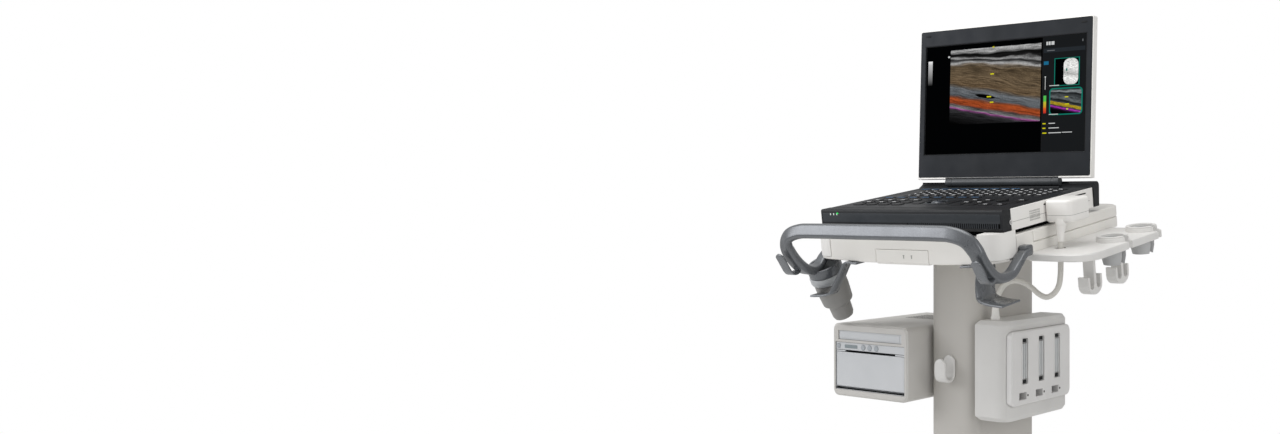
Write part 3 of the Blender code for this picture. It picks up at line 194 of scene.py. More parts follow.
def tint_by(tree: bpy.types.NodeTree, shader: bpy.types.Node, source: bpy.types.NodeSocket,
            stops: list[tuple[float, str]]) -> None:
    """Colours the shader by a ramp.

    Args:
        tree: The material's node tree.
        shader: Its shader.
        source: What picks the place on the ramp.
        stops: The ramp's places and hex colours.
    """
    tint = add_node(tree, "ShaderNodeValToRGB", None, {"Fac": source})
    set_ramp(tint, stops)
    tree.links.new(tint.outputs["Color"], shader.inputs["Base Color"])


def gloss_by(tree: bpy.types.NodeTree, shader: bpy.types.Node, source: bpy.types.NodeSocket,
             settings: dict[str, float]) -> None:
    """Lets a pattern vary the shader's roughness.

    Args:
        tree: The material's node tree.
        shader: Its shader.
        source: The pattern.
        settings: The ends of the Map Range node that turns the pattern into roughness.
    """
    gloss = add_node(tree, "ShaderNodeMapRange", settings, {"Value": source})
    tree.links.new(gloss.outputs["Result"], shader.inputs["Roughness"])


def bump_by(tree: bpy.types.NodeTree, shader: bpy.types.Node, source: bpy.types.NodeSocket, strength: float,
            distance: float) -> None:
    """Lets a pattern raise the surface.

    Args:
        tree: The material's node tree.
        shader: Its shader.
        source: The pattern's height.
        strength: The Bump node's strength.
        distance: Its depth.
    """
    bump = add_node(tree, "ShaderNodeBump", {"Strength": strength, "Distance": distance}, {"Height": source})
    tree.links.new(bump.outputs["Normal"], shader.inputs["Normal"])


def lit_from_within(shader: bpy.types.Node, strength: float) -> None:
    """Makes a surface that shows its own light and gives back almost none.

    Args:
        shader: The material's shader.
        strength: How bright its light is.
    """
    shader.inputs["Emission Strength"].default_value = strength
    shader.inputs["Base Color"].default_value = (0.0005, 0.0005, 0.0005, 1.0)
    shader.inputs["Roughness"].default_value = 0.5
    shader.inputs["Specular IOR Level"].default_value = 0.0


@dataclass(frozen=True)
class MouldedPlastic:
    """Injection-moulded ABS from a spark-eroded tool: a fine pebble, faint flow clouds, soft wide gloss."""

    name: str
    colour: str
    cloud: str
    roughness: float = 0.42
    grain: Grain = Grain.SPARKED
    grain_mm: float = 1.1
    coat: float = 0.0
    specular: float = 0.5

    def material(self) -> bpy.types.Material:
        """Builds the node tree.

        Returns:
            A material whose pebble is grain_mm across. The real one is near 0.1 mm, which is too fine to
            show, so it is drawn coarser.
        """
        material, tree, shader = blank_material(self.name)
        place = add_node(tree, "ShaderNodeTexCoord").outputs["Object"]
        cloud = add_node(tree, "ShaderNodeTexNoise", {"Scale": 9.0, "Detail": 3.0, "Roughness": 0.5},
                         {"Vector": place})
        tint_by(tree, shader, cloud.outputs["Fac"], [(0.30, self.cloud), (0.68, self.colour)])
        rub = add_node(tree, "ShaderNodeTexNoise", {"Scale": 38.0, "Detail": 4.0}, {"Vector": place})
        gloss_by(tree, shader, rub.outputs["Fac"], {"From Min": 0.3, "From Max": 0.7, "To Min": self.roughness - 0.05,
                                                    "To Max": self.roughness + 0.06})
        pebble = add_node(tree, "ShaderNodeTexNoise", {"Scale": 1.0 / (self.grain_mm * 0.001), "Detail": 2.0},
                          {"Vector": place})
        bump_by(tree, shader, pebble.outputs["Fac"], self.grain.value, 0.00006)
        shader.inputs["IOR"].default_value = 1.49
        shader.inputs["Coat Weight"].default_value = self.coat
        shader.inputs["Specular IOR Level"].default_value = self.specular
        return material


@dataclass(frozen=True)
class PowderCoat:
    """Powder-coated aluminium: the cured powder leaves a low orange peel that breaks up its gloss."""

    name: str
    colour: str
    cloud: str
    roughness: float = 0.38
    peel_mm: float = 2.4

    def material(self) -> bpy.types.Material:
        """Builds the node tree.

        Returns:
            A material whose orange peel is peel_mm from crest to crest.
        """
        material, tree, shader = blank_material(self.name)
        place = add_node(tree, "ShaderNodeTexCoord").outputs["Object"]
        cloud = add_node(tree, "ShaderNodeTexNoise", {"Scale": 6.0, "Detail": 2.0}, {"Vector": place})
        tint_by(tree, shader, cloud.outputs["Fac"], [(0.32, self.cloud), (0.66, self.colour)])
        peel = add_node(tree, "ShaderNodeTexNoise", {"Scale": 1.0 / (self.peel_mm * 0.001), "Detail": 1.0},
                        {"Vector": place})
        bump_by(tree, shader, peel.outputs["Fac"], 0.22, 0.00012)
        gloss_by(tree, shader, peel.outputs["Fac"], {"From Min": 0.35, "From Max": 0.65,
                                                     "To Min": self.roughness - 0.04, "To Max": self.roughness + 0.05})
        return material


@dataclass(frozen=True)
class FlakePaint:
    """Satin metallic paint on an aluminium bar: flakes of mica glint in a dark ground under a clear coat."""

    name: str
    colour: str
    flake: str
    metallic: float = 0.55
    roughness: float = 0.34
    flake_mm: float = 0.7

    def material(self) -> bpy.types.Material:
        """Builds the node tree.

        Returns:
            A material with cells flake_mm across, each a little lighter or darker. Real flakes are 0.05 mm,
            too fine to show, so they are drawn coarser.
        """
        material, tree, shader = blank_material(self.name)
        place = add_node(tree, "ShaderNodeTexCoord").outputs["Object"]
        cells = add_node(tree, "ShaderNodeTexVoronoi", {"Scale": 1.0 / (self.flake_mm * 0.001)}, {"Vector": place})
        tint_by(tree, shader, cells.outputs["Color"], [(0.15, self.colour), (0.95, self.flake)])
        rub = add_node(tree, "ShaderNodeTexNoise", {"Scale": 30.0, "Detail": 3.0}, {"Vector": place})
        gloss_by(tree, shader, rub.outputs["Fac"], {"From Min": 0.3, "From Max": 0.7, "To Min": self.roughness - 0.03,
                                                    "To Max": self.roughness + 0.05})
        shader.inputs["Metallic"].default_value = self.metallic
        shader.inputs["Coat Weight"].default_value = 0.25
        shader.inputs["Coat Roughness"].default_value = 0.22
        return material


@dataclass(frozen=True)
class Rubber:
    """Polyurethane tyre or moulded rubber: matt, with dust caught in a fine skin."""

    name: str
    colour: str
    dust: str

    def material(self) -> bpy.types.Material:
        """Builds the node tree.

        Returns:
            A material whose dust clouds are about 20 mm across.
        """
        material, tree, shader = blank_material(self.name)
        place = add_node(tree, "ShaderNodeTexCoord").outputs["Object"]
        dust = add_node(tree, "ShaderNodeTexNoise", {"Scale": 50.0, "Detail": 6.0, "Roughness": 0.7},
                        {"Vector": place})
        tint_by(tree, shader, dust.outputs["Fac"], [(0.40, self.colour), (0.80, self.dust)])
        bump_by(tree, shader, dust.outputs["Fac"], 0.3, 0.0001)
        shader.inputs["Roughness"].default_value = 0.75
        shader.inputs["Specular IOR Level"].default_value = 0.35
        return material


@dataclass(frozen=True)
class BrushedSteel:
    """Steel tube drawn and brushed along its length: fine lines run upright."""

    name: str
    colour: str = "A9ABAD"
    line_mm: float = 0.6

    def material(self) -> bpy.types.Material:
        """Builds the node tree.

        Returns:
            A material whose lines are line_mm apart and a hundred times as long.
        """
        material, tree, shader = blank_material(self.name)
        place = add_node(tree, "ShaderNodeTexCoord").outputs["Object"]
        stretch = add_node(tree, "ShaderNodeMapping", {"Scale": (1.0, 1.0, 0.01)}, {"Vector": place})
        lines = add_node(tree, "ShaderNodeTexNoise", {"Scale": 1.0 / (self.line_mm * 0.001), "Detail": 2.0},
                         {"Vector": stretch.outputs["Vector"]})
        gloss_by(tree, shader, lines.outputs["Fac"], {"To Min": 0.22, "To Max": 0.42})
        shader.inputs["Base Color"].default_value = to_linear(self.colour)
        shader.inputs["Metallic"].default_value = 1.0
        return material


@dataclass(frozen=True)
class Lit:
    """A part of a lit display: its own light shows its colour, under the panel's matt film."""

    name: str
    colour: str
    strength: float = 0.8

    def material(self) -> bpy.types.Material:
        """Builds the node tree.

        Returns:
            A material with a faint grain 1.2 mm across. A real panel's is finer, too fine to show.
        """
        material, tree, shader = blank_material(self.name)
        place = add_node(tree, "ShaderNodeTexCoord").outputs["Object"]
        grain = add_node(tree, "ShaderNodeTexNoise", {"Scale": 800.0, "Detail": 0.0}, {"Vector": place})
        tint = add_node(tree, "ShaderNodeMix", {"data_type": "RGBA", 6: to_linear(self.colour),
                                                7: tuple(0.85 * c for c in to_linear(self.colour))},
                        {0: grain.outputs["Fac"]})
        tree.links.new(tint.outputs[2], shader.inputs["Emission Color"])
        lit_from_within(shader, self.strength)
        return material


@dataclass(frozen=True)
class Sums:
    """Arithmetic on values in a node tree."""

    tree: bpy.types.NodeTree

    def do(self, operation: str, *values: float | bpy.types.NodeSocket) -> bpy.types.NodeSocket:
        """Adds one Math node.

        Args:
            operation: Its operation.
            values: Its inputs in order, each a number or a socket.
        Returns:
            Its result.
        """
        fixed = {i: v for i, v in enumerate(values) if isinstance(v, float)}
        fed = {i: v for i, v in enumerate(values) if not isinstance(v, float)}
        return add_node(self.tree, "ShaderNodeMath", {"operation": operation, **fixed}, fed).outputs["Value"]

    def span(self, value: bpy.types.NodeSocket, low: float, high: float, out_low: float,
             out_high: float) -> bpy.types.NodeSocket:
        """Carries a value from one range to another, held at its ends.

        Args:
            value: The value.
            low: The first range's low end.
            high: Its high end.
            out_low: The second range's low end.
            out_high: Its high end.
        Returns:
            The carried value.
        """
        return add_node(self.tree, "ShaderNodeMapRange", {"From Min": low, "From Max": high, "To Min": out_low,
                                                          "To Max": out_high}, {"Value": value}).outputs["Result"]

    def noise(self, where: bpy.types.NodeSocket, scale: tuple[float, float, float], detail: float,
              roughness: float = 0.5) -> bpy.types.NodeSocket:
        """Adds a noise that is stretched along its axes.

        Args:
            where: The coordinates.
            scale: Waves to a unit along each axis.
            detail: Octaves.
            roughness: How strong the fine octaves are.
        Returns:
            Its value.
        """
        drawn = add_node(self.tree, "ShaderNodeMapping", {"Scale": scale}, {"Vector": where}).outputs["Vector"]
        return add_node(self.tree, "ShaderNodeTexNoise", {"Scale": 1.0, "Detail": detail, "Roughness": roughness},
                        {"Vector": drawn}).outputs["Fac"]


@dataclass(frozen=True)
class TissueScan:
    """A made-up scan of layered tissue, lit by the display.

    The layers follow depth below the top edge, and each sags along a slow wave. Speckle is stretched across.
    """

    name: str
    layers: tuple[tuple[float, str], ...]
    slope: float = 0.24
    vessel: bool = True
    strength: float = 1.0

    def material(self) -> bpy.types.Material:
        """Builds the node tree.

        Returns:
            A material that reads the piece's own UV map: U runs across the picture and V up it.
        """
        material, tree, shader = blank_material(self.name)
        where = add_node(tree, "ShaderNodeUVMap", {"uv_map": "picture"}).outputs["UV"]
        parts = add_node(tree, "ShaderNodeSeparateXYZ", None, {"Vector": where})
        across, up = parts.outputs["X"], parts.outputs["Y"]
        sums = Sums(tree)
        depth = sums.do("SUBTRACT", 1.0, up)
        # the skin stays level, and the slope of the layers grows with depth
        grow = sums.span(depth, 0.08, 0.55, 0.1, 1.0)
        lean = sums.do("MULTIPLY", sums.do("MULTIPLY", across, -self.slope), grow)
        sway = sums.span(sums.noise(where, (3.0, 7.0, 1.0), 2.0), 0.0, 1.0, -0.045, 0.045)
        bent = sums.do("ADD", depth, lean)
        level = sums.do("ADD", bent, sway)
        ramp = add_node(tree, "ShaderNodeValToRGB", None, {"Fac": level})
        set_ramp(ramp, list(self.layers))
        # fibres: noise drawn out along the layers, ten times as long as deep
        sheared = add_node(tree, "ShaderNodeCombineXYZ", None, {"X": across, "Y": level}).outputs["Vector"]
        glint = sums.span(sums.noise(sheared, (5.0, 60.0, 1.0), 6.0, 0.7), 0.30, 0.72, 0.10, 2.3)
        grit = sums.span(sums.noise(where, (110.0, 190.0, 1.0), 1.0), 0.3, 0.7, 0.35, 1.55)
        light = sums.do("MULTIPLY", glint, grit)
        if self.vessel:
            # a vessel cut along its length: a long dark lens, 0.23 of the width by 0.05 of the height
            flat_x = sums.do("DIVIDE", sums.do("SUBTRACT", across, 0.40), 0.115)
            flat_y = sums.do("DIVIDE", sums.do("SUBTRACT", bent, 0.545), 0.026)
            lens = sums.do("MULTIPLY_ADD", flat_y, flat_y, sums.do("MULTIPLY", flat_x, flat_x))
            light = sums.do("MULTIPLY", light, sums.span(lens, 0.75, 1.15, 0.0, 1.0))
        shown = add_node(tree, "ShaderNodeVectorMath", {"operation": "SCALE"},
                         {0: ramp.outputs["Color"], "Scale": light})
        tree.links.new(shown.outputs["Vector"], shader.inputs["Emission Color"])
        lit_from_within(shader, self.strength)
        return material


@dataclass(frozen=True)
class DisplayFade:
    """A scale on the display: its stops run from its foot up to its top."""

    name: str
    stops: tuple[tuple[float, str], ...]
    strength: float = 0.85

    def material(self) -> bpy.types.Material:
        """Builds the node tree.

        Returns:
            A material whose shade is read from V of the piece's own UV map.
        """
        material, tree, shader = blank_material(self.name)
        where = add_node(tree, "ShaderNodeUVMap", {"uv_map": "picture"}).outputs["UV"]
        parts = add_node(tree, "ShaderNodeSeparateXYZ", None, {"Vector": where})
        ramp = add_node(tree, "ShaderNodeValToRGB", None, {"Fac": parts.outputs["Y"]})
        set_ramp(ramp, list(self.stops))
        tree.links.new(ramp.outputs["Color"], shader.inputs["Emission Color"])
        shader.inputs["Emission Strength"].default_value = self.strength
        shader.inputs["Base Color"].default_value = (0.0005, 0.0005, 0.0005, 1.0)
        shader.inputs["Specular IOR Level"].default_value = 0.0
        return material


Finish = MouldedPlastic | PowderCoat | FlakePaint | Rubber | BrushedSteel | Lit | TissueScan | DisplayFade


@dataclass
class PaintShop:
    """Makes each finish's material once and hands it out."""

    made: dict[str, bpy.types.Material] = field(default_factory=dict)

    def get(self, finish: Finish) -> bpy.types.Material:
        """Gives the material of a finish.

        Args:
            finish: Any finish of this file.
        Returns:
            Its material, built on first use.
        """
        if finish.name not in self.made:
            self.made[finish.name] = finish.material()
        return self.made[finish.name]


SHOP = PaintShop()
WHITE_ABS = MouldedPlastic("white_abs", "F5F4F1", "EFEDEA", 0.40)
TRAY_ABS = MouldedPlastic("tray_white_abs", "F3F1ED", "ECEAE5", 0.42)
SHELF_ABS = MouldedPlastic("shelf_white_abs", "E4E3E1", "DCDBD9", 0.40)
PORT_ABS = MouldedPlastic("port_box_abs", "DAD9D7", "D1D0CE", 0.42)
PORT_FACE_ABS = MouldedPlastic("port_face_abs", "E2E1E0", "DAD9D8", 0.40)
COLUMN_COAT = PowderCoat("column_powder_coat", "C3C0BB", "BAB7B2")
BASE_COAT = PowderCoat("base_powder_coat", "D0CDC8", "C7C4BE")
HOUSING_ABS = MouldedPlastic("printer_housing_abs", "CCCAC7", "C3C1BD", 0.40)
UNIT_SILVER = MouldedPlastic("printer_unit_paint", "D0D2D5", "C6C9CC", 0.36, Grain.SMOOTH, 1.4, 0.1)
BUTTON_GREY = MouldedPlastic("printer_button_abs", "AEB3B8", "A2A7AC", 0.38, Grain.SMOOTH)
CLIP_GREY = MouldedPlastic("holder_clip_abs", "BFC2C4", "B3B6B8", 0.38)
CUP_GREY = MouldedPlastic("gel_cup_abs", "8F8E8C", "858482", 0.42)
LINER_GREY = MouldedPlastic("probe_cup_liner", "B9BABB", "ACADAE", 0.5)
BEZEL_BLACK = MouldedPlastic("bezel_abs", "1E2228", "1A1E23", 0.42, Grain.SPARKED, 1.1, 0.0, 0.16)
# dark grey: the bezel's stops and seam line, the soft key strip, and painted shade in the gaps round the printer unit
BEZEL_SEAM = MouldedPlastic("bezel_seam_shadow", "14171A", "101214", 0.6, Grain.SMOOTH, 1.1, 0.0, 0.25)
HINGE_GREY = MouldedPlastic("hinge_cover_abs", "4A4D50", "424548", 0.36, Grain.SMOOTH, 1.1, 0.0, 0.4)
DECK_BLACK = MouldedPlastic("deck_abs", "232528", "1D1F22", 0.42, Grain.SPARKED, 1.1, 0.0, 0.25)
LIP_SLATE = MouldedPlastic("deck_lip_abs", "34383D", "2E3236", 0.36, Grain.SMOOTH, 1.1, 0.0, 0.4)
KEY_BLACK = MouldedPlastic("key_cap_abs", "1B1C1F", "161719", 0.44, Grain.SPARKED, 0.6, 0.0, 0.25)
# near black: painted shade in the gaps, slots, creases, grilles, vents and latch tracks; the bed under the keys, its
# own black deepened by painted shade; and the real black of the latch dots and the gas spring
BLACK_AND_PAINTED_SHADE = MouldedPlastic("shadow_gap", "08090A", "060607", 0.7, Grain.SMOOTH, 1.1, 0.0, 0.05)
SOCKET_BLACK = MouldedPlastic("socket_nylon", "1C1E20", "17191B", 0.5, Grain.SPARKED, 1.1, 0.0, 0.25)
SOCKET_GREY = MouldedPlastic("socket_shroud", "A3A3A2", "999998", 0.45, Grain.SMOOTH)
LATCH_GREY = MouldedPlastic("latch_abs", "6F7072", "666769", 0.38, Grain.SMOOTH)
CONTACT_PALE = MouldedPlastic("socket_contact_bar", "DADCDD", "C8CBCC", 0.30, Grain.SMOOTH)
LEGEND_WHITE = MouldedPlastic("printed_legend", "F2F4F6", "EDEFF1", 0.5, Grain.SMOOTH)
LEGEND_DIM = MouldedPlastic("printed_legend_dim", "8D949C", "848B93", 0.5, Grain.SMOOTH)
LEGEND_BLUE = MouldedPlastic("printed_legend_blue", "3F6A92", "386187", 0.5, Grain.SMOOTH)
ICON_GREY = MouldedPlastic("embossed_icon", "A5A5A2", "9C9C99", 0.5, Grain.SMOOTH)
BALL_SLATE = MouldedPlastic("trackball_resin", "3A4149", "343A42", 0.18, Grain.SMOOTH, 1.0, 0.4)
HANDLE_PAINT = FlakePaint("handle_satin_paint", "5F6266", "74777B", 0.40, 0.30)
BRACKET_PAINT = FlakePaint("bracket_satin_paint", "676A6E", "7E8185", 0.45, 0.27)
TYRE = Rubber("tyre_polyurethane", "4A4B4C", "5C5D5D")
HUB_GREY = MouldedPlastic("wheel_hub_nylon", "B9BBBC", "AEB0B1", 0.45)
MAST_STEEL = BrushedSteel("mast_steel")
CABLE_JACKET = MouldedPlastic("cable_jacket_pvc", "DAD8D3", "D1CFC9", 0.48, Grain.SMOOTH, 3.0)
PANEL_GLASS = MouldedPlastic("display_film", "030303", "020202", 0.22, Grain.SMOOTH, 2.0, 0.0, 0.06)
LED_GREEN = Lit("status_light_green", "3BE86A", 1.2)
LED_WHITE = Lit("status_light_white", "E6F2EC", 0.9)
PRINTER_GLASS = MouldedPlastic("printer_display_film", "8E979B", "858E92", 0.22, Grain.SMOOTH, 2.0, 0.2)
SCREEN_BLACK = Lit("screen_black", "010203", 0.6)
SCREEN_GREY = Lit("screen_side_panel", "1E2022", 0.8)
SCREEN_BAR = Lit("screen_title_bar", "2C3136", 0.8)
SCREEN_TEAL = Lit("screen_teal", "12806E", 0.9)
SCREEN_BLUE = Lit("screen_blue", "1F6F95", 0.9)
SCREEN_YELLOW = Lit("screen_yellow", "D8D216", 0.95)
SCREEN_WHITE = Lit("screen_white", "D6D8D8", 0.9)
SCREEN_DIM = Lit("screen_dim_mark", "7A7D80", 0.8)
SCREEN_BONE = TissueScan(
    "screen_preview", ((0.0, "D8D8D6"), (0.3, "E8E8E6"), (0.55, "B0B0AE"), (0.7, "EDEDEB"), (1.0, "C8C8C6")), 0.1,
    False, 0.9)
MAIN_SCAN = TissueScan(
    "screen_scan",
    ((0.000, "9A9A9A"), (0.030, "8A8A8A"), (0.050, "5A5A5A"), (0.062, "0A0A0A"), (0.095, "151515"), (0.115, "8C8C8C"),
     (0.130, "1C1C1C"), (0.150, "4A4A4A"), (0.168, "9C9C9C"), (0.190, "665C50"), (0.215, "4E4232"), (0.330, "5C4E3C"),
     (0.440, "5A4A37"), (0.470, "4E4A45"), (0.495, "62666A"), (0.590, "4A4E52"), (0.615, "6E3E2A"), (0.640, "94431F"),
     (0.690, "7E381E"), (0.715, "4C4846"), (0.750, "6A6A6C"), (0.766, "8C4A82"), (0.782, "4A3048"), (0.800, "2A2A2C"),
     (0.870, "161617"), (0.960, "020202"), (1.000, "000000")))
SMALL_SCAN = TissueScan(
    "screen_small_scan",
    ((0.0, "181A1C"), (0.08, "7E8486"), (0.12, "101214"), (0.30, "5C6264"), (0.36, "121416"), (0.44, "3A3E40"),
     (0.47, "A08A22"), (0.56, "9A8420"), (0.60, "2A2A30"), (0.66, "A032A8"), (0.70, "3A1840"), (0.76, "08080A"),
     (1.0, "000000")), 0.30, False, 0.95)
GREY_WEDGE = DisplayFade("screen_grey_scale", ((0.0, "000000"), (0.85, "C8C8C8"), (1.0, "FFFFFF")))
COLOUR_WEDGE = DisplayFade("screen_colour_scale", (
    (0.0, "C82A2A"), (0.28, "E8642A"), (0.36, "D8A030"), (0.62, "C8C83A"), (0.70, "5AC84A"), (1.0, "58C860")))


# ---------------------------------------------------------------- shapes as whole arrays

def arc_corner_outline(half_u: float, half_v: float, radius: float, steps: int = 8) -> Array:
    """Outline of a rectangle with round corners about the origin, anticlockwise.

    The angle of each point sweeps a quarter turn at each corner; the point is the corner's centre plus the
    radius times (cos, sin) of the angle.

    Args:
        half_u: Half the width.
        half_v: Half the height.
        radius: Corner radius.
        steps: Segments in each corner.
    Returns:
        An array of (u, v) rows.
    """
    radius = min(radius, 0.999 * half_u, 0.999 * half_v)
    quarter = np.linspace(0.0, math.pi / 2, steps + 1)
    angles = (np.arange(4)[:, None] * math.pi / 2 - math.pi / 2 + quarter[None, :])
    signs = np.array([(1, -1), (1, 1), (-1, 1), (-1, -1)], float)
    centres = signs * np.array([half_u - radius, half_v - radius])
    points = centres[:, None, :] + radius * np.stack([np.cos(angles), np.sin(angles)], -1)
    return points.reshape(-1, 2)


def spline_through(points: Array, steps: int) -> Array:
    """Catmull-Rom line through points: a cubic between neighbours with slopes half the chord across each point.

    Args:
        points: Rows of coordinates.
        steps: Line segments between neighbours.
    Returns:
        The dense line, first and last points kept.
    """
    ends = np.vstack([2 * points[0] - points[1], points, 2 * points[-1] - points[-2]])
    a, b, c, d = ends[:-3, None], ends[1:-2, None], ends[2:-1, None], ends[3:, None]
    t = (np.arange(steps) / steps)[None, :, None]
    line = 0.5 * (2 * b + (c - a) * t + (2 * a - 5 * b + 4 * c - d) * t ** 2 + (3 * b - a - 3 * c + d) * t ** 3)
    return np.vstack([line.reshape(-1, points.shape[1]), points[-1]])


def lay(*coordinates: Array | float) -> Array:
    """Rows of coordinates; a single number is shared by every row."""
    return np.column_stack(np.broadcast_arrays(*coordinates))


def unit(rows: Array) -> Array:
    """Each row divided by its length."""
    return rows / np.maximum(np.linalg.norm(rows, axis=-1, keepdims=True), 1e-12)


def along(line: Array) -> Array:
    """Unit directions of a line: the chord from the point before to the point after each."""
    padded = np.vstack([line[:1], line, line[-1:]])
    return unit(padded[2:] - padded[:-2])


@dataclass
class Skin:
    """Closed shells gathered into one mesh."""

    points: list[Array] = field(default_factory=list)
    quads: list[Array] = field(default_factory=list)
    caps: list[list[int]] = field(default_factory=list)
    count: int = 0

    def grid(self, rows: Array, closed: bool = False) -> "Skin":
        """Adds a tube from an array of loops.

        Args:
            rows: Points as (loop, point, xyz); each loop closes on itself.
            closed: True joins the last loop to the first, otherwise both end loops get a flat cap.
        Returns:
            This skin.
        """
        m, n, _ = rows.shape
        index = np.arange(m * n).reshape(m, n) + self.count
        nxt = np.roll(index, -1, axis=1)
        low, high = (index, np.roll(index, -1, axis=0)) if closed else (index[:-1], index[1:])
        low_n, high_n = (nxt, np.roll(nxt, -1, axis=0)) if closed else (nxt[:-1], nxt[1:])
        self.quads.append(np.stack([low, low_n, high_n, high], -1).reshape(-1, 4))
        self.points.append(rows.reshape(-1, 3))
        if not closed:
            self.caps += [index[0, ::-1].tolist(), index[-1].tolist()]
        self.count += m * n
        return self

    def slab(self, centre: tuple[float, float, float], half: tuple[float, float, float], corner: float = 0.0,
             ease: float = 0.0, axis: str = "z", steps: int = 5) -> "Skin":
        """Adds a rounded plate.

        The outline is a round-cornered rectangle. Near both faces it draws in along a quarter circle of
        radius ease, so the edge is eased: inset = ease * (1 - cos a) while the height drops by ease * (1 - sin a).

        Args:
            centre: The plate's middle.
            half: Half sizes along x, y, z.
            corner: Radius of the corners seen along the axis.
            ease: Radius of the edges round both faces.
            axis: The axis that the outline is carried along.
            steps: Segments in a corner.
        Returns:
            This skin.
        """
        order = {"x": (1, 2, 0), "y": (2, 0, 1), "z": (0, 1, 2)}[axis]
        hu, hv, hw = (half[i] for i in order)
        corner = max(corner, ease * 1.02, 1e-6)
        if ease > 0:
            turn = np.linspace(0.0, math.pi / 2, 5)
            inset = np.concatenate([ease * (1 - np.sin(turn)), (ease * (1 - np.sin(turn)))[::-1]])
            level = np.concatenate([-hw + ease * (1 - np.cos(turn)), (hw - ease * (1 - np.cos(turn)))[::-1]])
        else:
            inset, level = np.zeros(2), np.array([-hw, hw])
        outlines = np.stack([arc_corner_outline(hu - i, hv - i, max(corner - i, 1e-6), steps) for i in inset])
        rows = np.empty((len(inset), outlines.shape[1], 3))
        rows[..., order[0]] = outlines[..., 0]
        rows[..., order[1]] = outlines[..., 1]
        rows[..., order[2]] = level[:, None]
        return self.grid(rows + np.array(centre))

    def bricks(self, centres: Array, halves: Array) -> "Skin":
        """Adds many plain thin blocks at once, such as printed marks.

        Each block is the eight sign patterns of its half sizes added to its centre.

        Args:
            centres: Rows of x, y, z.
            halves: Rows of half sizes, or one row for all.
        Returns:
            This skin.
        """
        centres = np.atleast_2d(centres)
        halves = np.broadcast_to(np.atleast_2d(halves), centres.shape)
        signs = np.array([(-1, -1, -1), (1, -1, -1), (1, 1, -1), (-1, 1, -1),
                          (-1, -1, 1), (1, -1, 1), (1, 1, 1), (-1, 1, 1)], float)
        corners = centres[:, None, :] + halves[:, None, :] * signs[None]
        faces = np.array([(0, 3, 2, 1), (4, 5, 6, 7), (0, 1, 5, 4), (1, 2, 6, 5), (2, 3, 7, 6), (3, 0, 4, 7)])
        start = self.count + 8 * np.arange(len(centres))
        self.quads.append((faces[None] + start[:, None, None]).reshape(-1, 4))
        self.points.append(corners.reshape(-1, 3))
        self.count += 8 * len(centres)
        return self

    def turned(self, profile: Array, centre: tuple[float, float, float] = (0, 0, 0), axis: str = "z",
               count: int = 64, closed: bool = False) -> "Skin":
        """Adds a profile turned about an axis: (r cos a, r sin a, h) for a from 0 to a full turn.

        Args:
            profile: Rows of (radius, height).
            centre: A point on the axis.
            axis: The axis that heights are measured on.
            count: Points round the turn.
            closed: True for a ring, whose profile comes back to its start.
        Returns:
            This skin.
        """
        order = {"x": (1, 2, 0), "y": (2, 0, 1), "z": (0, 1, 2)}[axis]
        angle = np.linspace(0.0, 2 * math.pi, count, endpoint=False)
        rows = np.empty((len(profile), count, 3))
        rows[..., order[0]] = profile[:, :1] * np.cos(angle)
        rows[..., order[1]] = profile[:, :1] * np.sin(angle)
        rows[..., order[2]] = profile[:, 1:2]
        return self.grid(rows + np.array(centre), closed)

    def ribbon(self, path: Array, section: Array, share: Array) -> "Skin":
        """Adds a strip bent in the YZ plane, its width along X.

        Args:
            path: Rows of x, y, z.
            section: Rows of (across, through).
            share: Share of the width at each point.
        Returns:
            This skin.
        """
        u = np.array([1.0, 0.0, 0.0])
        v = np.cross(along(path), u)
        rows = path[:, None] + u * (section[None, :, :1] * share[:, None, None]) + v[:, None] * section[None, :, 1:2]
        return self.grid(rows)

    def swept(self, line: Array, section: Array, side: Array, scale: Array | None = None) -> "Skin":
        """Adds a section carried along a line.

        At each point u lies along side, made square to the direction, and v is the direction crossed with u.

        Args:
            line: Rows of x, y, z.
            section: Rows of (u, v).
            side: One direction, or one for each point.
            scale: Share of the section's size at each point.
        Returns:
            This skin.
        """
        ahead = along(line)
        guide = np.broadcast_to(side, line.shape)
        u = unit(guide - ahead * np.sum(guide * ahead, -1, keepdims=True))
        v = np.cross(ahead, u)
        scale = np.ones(len(line)) if scale is None else scale
        across = u[:, None] * section[None, :, :1] + v[:, None] * section[None, :, 1:2]
        return self.grid(line[:, None] + scale[:, None, None] * across)


